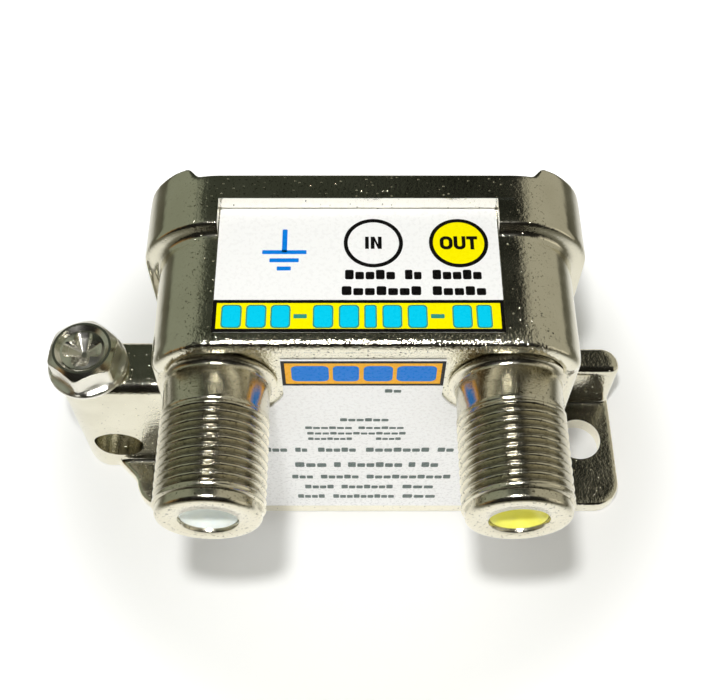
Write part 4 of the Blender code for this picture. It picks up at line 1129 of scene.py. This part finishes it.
def room():
    """Room dark overhead and in front, with walls at both sides, paler past the window; white behind."""
    world = bpy.data.worlds.new("room")
    bpy.context.scene.world = world
    world.use_nodes = True
    tree = world.node_tree
    direction = add(tree, "TexCoord", {}).outputs["Generated"]
    axes = add(tree, "SeparateXYZ", {0: direction})
    across = axes.outputs["X"]
    from_middle = add(tree, "Math", {0: across, 1: ROOM_MIDDLE}, operation="SUBTRACT")
    aside = add(tree, "Math", {0: from_middle.outputs[0]}, operation="ABSOLUTE")
    walls = add(tree, "MapRange", {"Value": aside.outputs[0], "From Min": ROOM_WALLS[0],
                                   "From Max": ROOM_WALLS[1]}, interpolation_type="SMOOTHSTEP")
    window = add(tree, "MapRange", {"Value": across, "From Min": ROOM_WINDOW[0],
                                    "From Max": ROOM_WINDOW[1]})
    wall = add(tree, "Mix", {0: window.outputs[0], 6: linear("#8c9181"), 7: linear("#aeab9b")},
               data_type="RGBA")
    ceiling = add(tree, "Mix", {0: window.outputs[0], 6: linear("#3c4037"), 7: linear("#141512")},
                  data_type="RGBA")
    around = add(tree, "Mix", {0: walls.outputs[0], 6: ceiling.outputs[2], 7: wall.outputs[2]},
                 data_type="RGBA")
    ends = add(tree, "MapRange", {"Value": aside.outputs[0], "From Min": ROOM_ENDS[0],
                                  "From Max": ROOM_ENDS[1]})
    corner = add(tree, "Mix", {0: window.outputs[0], 6: linear("#b08c5c"), 7: linear("#efe9d6")},
                 data_type="RGBA")
    front = add(tree, "Mix", {0: ends.outputs[0], 6: linear("#1c1b17"), 7: corner.outputs[2]},
                data_type="RGBA")
    in_front = add(tree, "MapRange", {"Value": axes.outputs["Y"], "From Min": ROOM_FRONT[0],
                                      "From Max": ROOM_FRONT[1]}, interpolation_type="SMOOTHSTEP")
    mirrored = add(tree, "Mix", {0: in_front.outputs[0], 6: around.outputs[2], 7: front.outputs[2]},
                   data_type="RGBA")
    seen = add(tree, "LightPath", {}).outputs["Is Camera Ray"]
    shown = add(tree, "Mix", {0: seen, 6: mirrored.outputs[2], 7: linear("#ffffff")}, data_type="RGBA")
    tree.links.new(shown.outputs[2], tree.nodes["Background"].inputs["Color"])


def table():
    """White paper on a grey table: metal sees where the sheet ends, the camera sees white all over."""
    data = bmesh.new()
    bmesh.ops.create_grid(data, x_segments=1, y_segments=1, size=TABLE_HALF)
    top = to_object("table", data)
    paper, tree, shader, place = surface("table_paper", Roughness=0.9)
    path = add(tree, "LightPath", {})
    seen, mirrored = path.outputs["Is Camera Ray"], path.outputs["Is Glossy Ray"]
    reach = add(tree, "VectorMath", {0: place}, operation="LENGTH").outputs["Value"]
    away = add(tree, "MapRange", {"Value": reach, "From Min": GLOW_REACH[0], "From Max": GLOW_REACH[1],
                                  "To Min": GLOW[0], "To Max": GLOW[1]}, interpolation_type="SMOOTHSTEP")
    sheet = add(tree, "MapRange", {"Value": reach, "From Min": SHEET_EDGE[0], "From Max": SHEET_EDGE[1],
                                   "To Min": 1.0, "To Max": 0.0}, interpolation_type="SMOOTHSTEP")
    sheet_in_metal = add(tree, "Math", {0: sheet.outputs[0], 1: mirrored}, operation="MULTIPLY")
    in_metal = add(tree, "Math", {0: sheet_in_metal.outputs[0], 1: GLOW_IN_METAL}, operation="MULTIPLY")
    glow = add(tree, "Math", {0: seen, 1: away.outputs[0], 2: in_metal.outputs[0]},
               operation="MULTIPLY_ADD")
    beyond = add(tree, "Math", {0: mirrored, 1: sheet_in_metal.outputs[0]}, operation="SUBTRACT")
    shade = add(tree, "Mix", {0: beyond.outputs[0], 6: linear("#f6f6f4"), 7: linear("#8f8d80")},
                data_type="RGBA")
    shader.inputs["Emission Color"].default_value = linear("#ffffff")
    tree.links.new(shade.outputs[2], shader.inputs["Base Color"])
    tree.links.new(glow.outputs[0], shader.inputs["Emission Strength"])
    top.data.materials.append(paper)


def lamp(name, place, aim, size, watts, on_plain, in_metal):
    """Disc lamp aimed at a point and hidden from the camera."""
    made = bpy.data.lights.new(name, "AREA")
    made.shape = "DISK"
    made.size = size
    made.energy = watts
    holder = bpy.data.objects.new(name, made)
    holder.location = place
    holder.rotation_euler = (Vector(aim) - Vector(place)).to_track_quat("-Z", "Y").to_euler()
    holder.visible_camera = False
    holder.visible_diffuse = on_plain
    holder.visible_glossy = in_metal
    bpy.context.scene.collection.objects.link(holder)


def studio():
    """Pale table, a small key lamp near the camera, a broad fill in front, and the room round them."""
    bpy.context.scene.view_settings.view_transform = "Standard"
    place_camera()
    room()
    table()
    for name, values in LAMPS.items():
        lamp(name, *values)


def object_pieces():
    brass = nickel_plated_brass()
    dress(housing(), nickel_plated_casting(), "nickel_casting", "block", "housing")
    cover = rolled_metal("tinplate_cover", "#b2b1ab", "#cbcac4", 0.26, 0.4, 0.12)
    dress(cover_plate(), cover, "tinned_steel", "block", "cover_plate")
    natural = waxy_plastic("polyethylene_natural", "#e2ebe4", "#f4f9f2")
    yellow = waxy_plastic("polyethylene_yellow", "#f8f052", "#fffb8c")
    for name, x in PORTS.items():
        dress(port_barrel(name, x), brass, "nickel_brass", "block", "port_barrel_" + name)
        plastic, slot = (natural, "insulator_natural") if name == "in" else (yellow, "insulator_yellow")
        dress(insulator(name, x), plastic, slot, "block", "insulator_" + name)
    dress(ground_screw(), plated_screw_steel(), "plated_steel", "screw", "ground_screw")
    inks = {"white": printed_vinyl("white_vinyl", "#f8f8f7", "#f6f6f5", 0.5),
            "yellow": printed_vinyl("yellow_ink", "#fdf100", "#f6e800"),
            "black": printed_vinyl("black_ink", "#141312", "#0c0b0b"),
            "cyan": printed_vinyl("cyan_ink", "#06cdf0", "#04c6ea"),
            "teal": printed_vinyl("teal_ink", "#3c9a86", "#2f8a78"),
            "blue": printed_vinyl("blue_ink", "#0a80e0", "#0878d8"),
            "orange": printed_vinyl("orange_ink", "#fdb92e", "#f9b224"),
            "grey": printed_vinyl("grey_ink", "#64726e", "#5b6864")}
    top_label(inks)
    front_label(inks)
    inner_parts()


studio()
object_pieces()
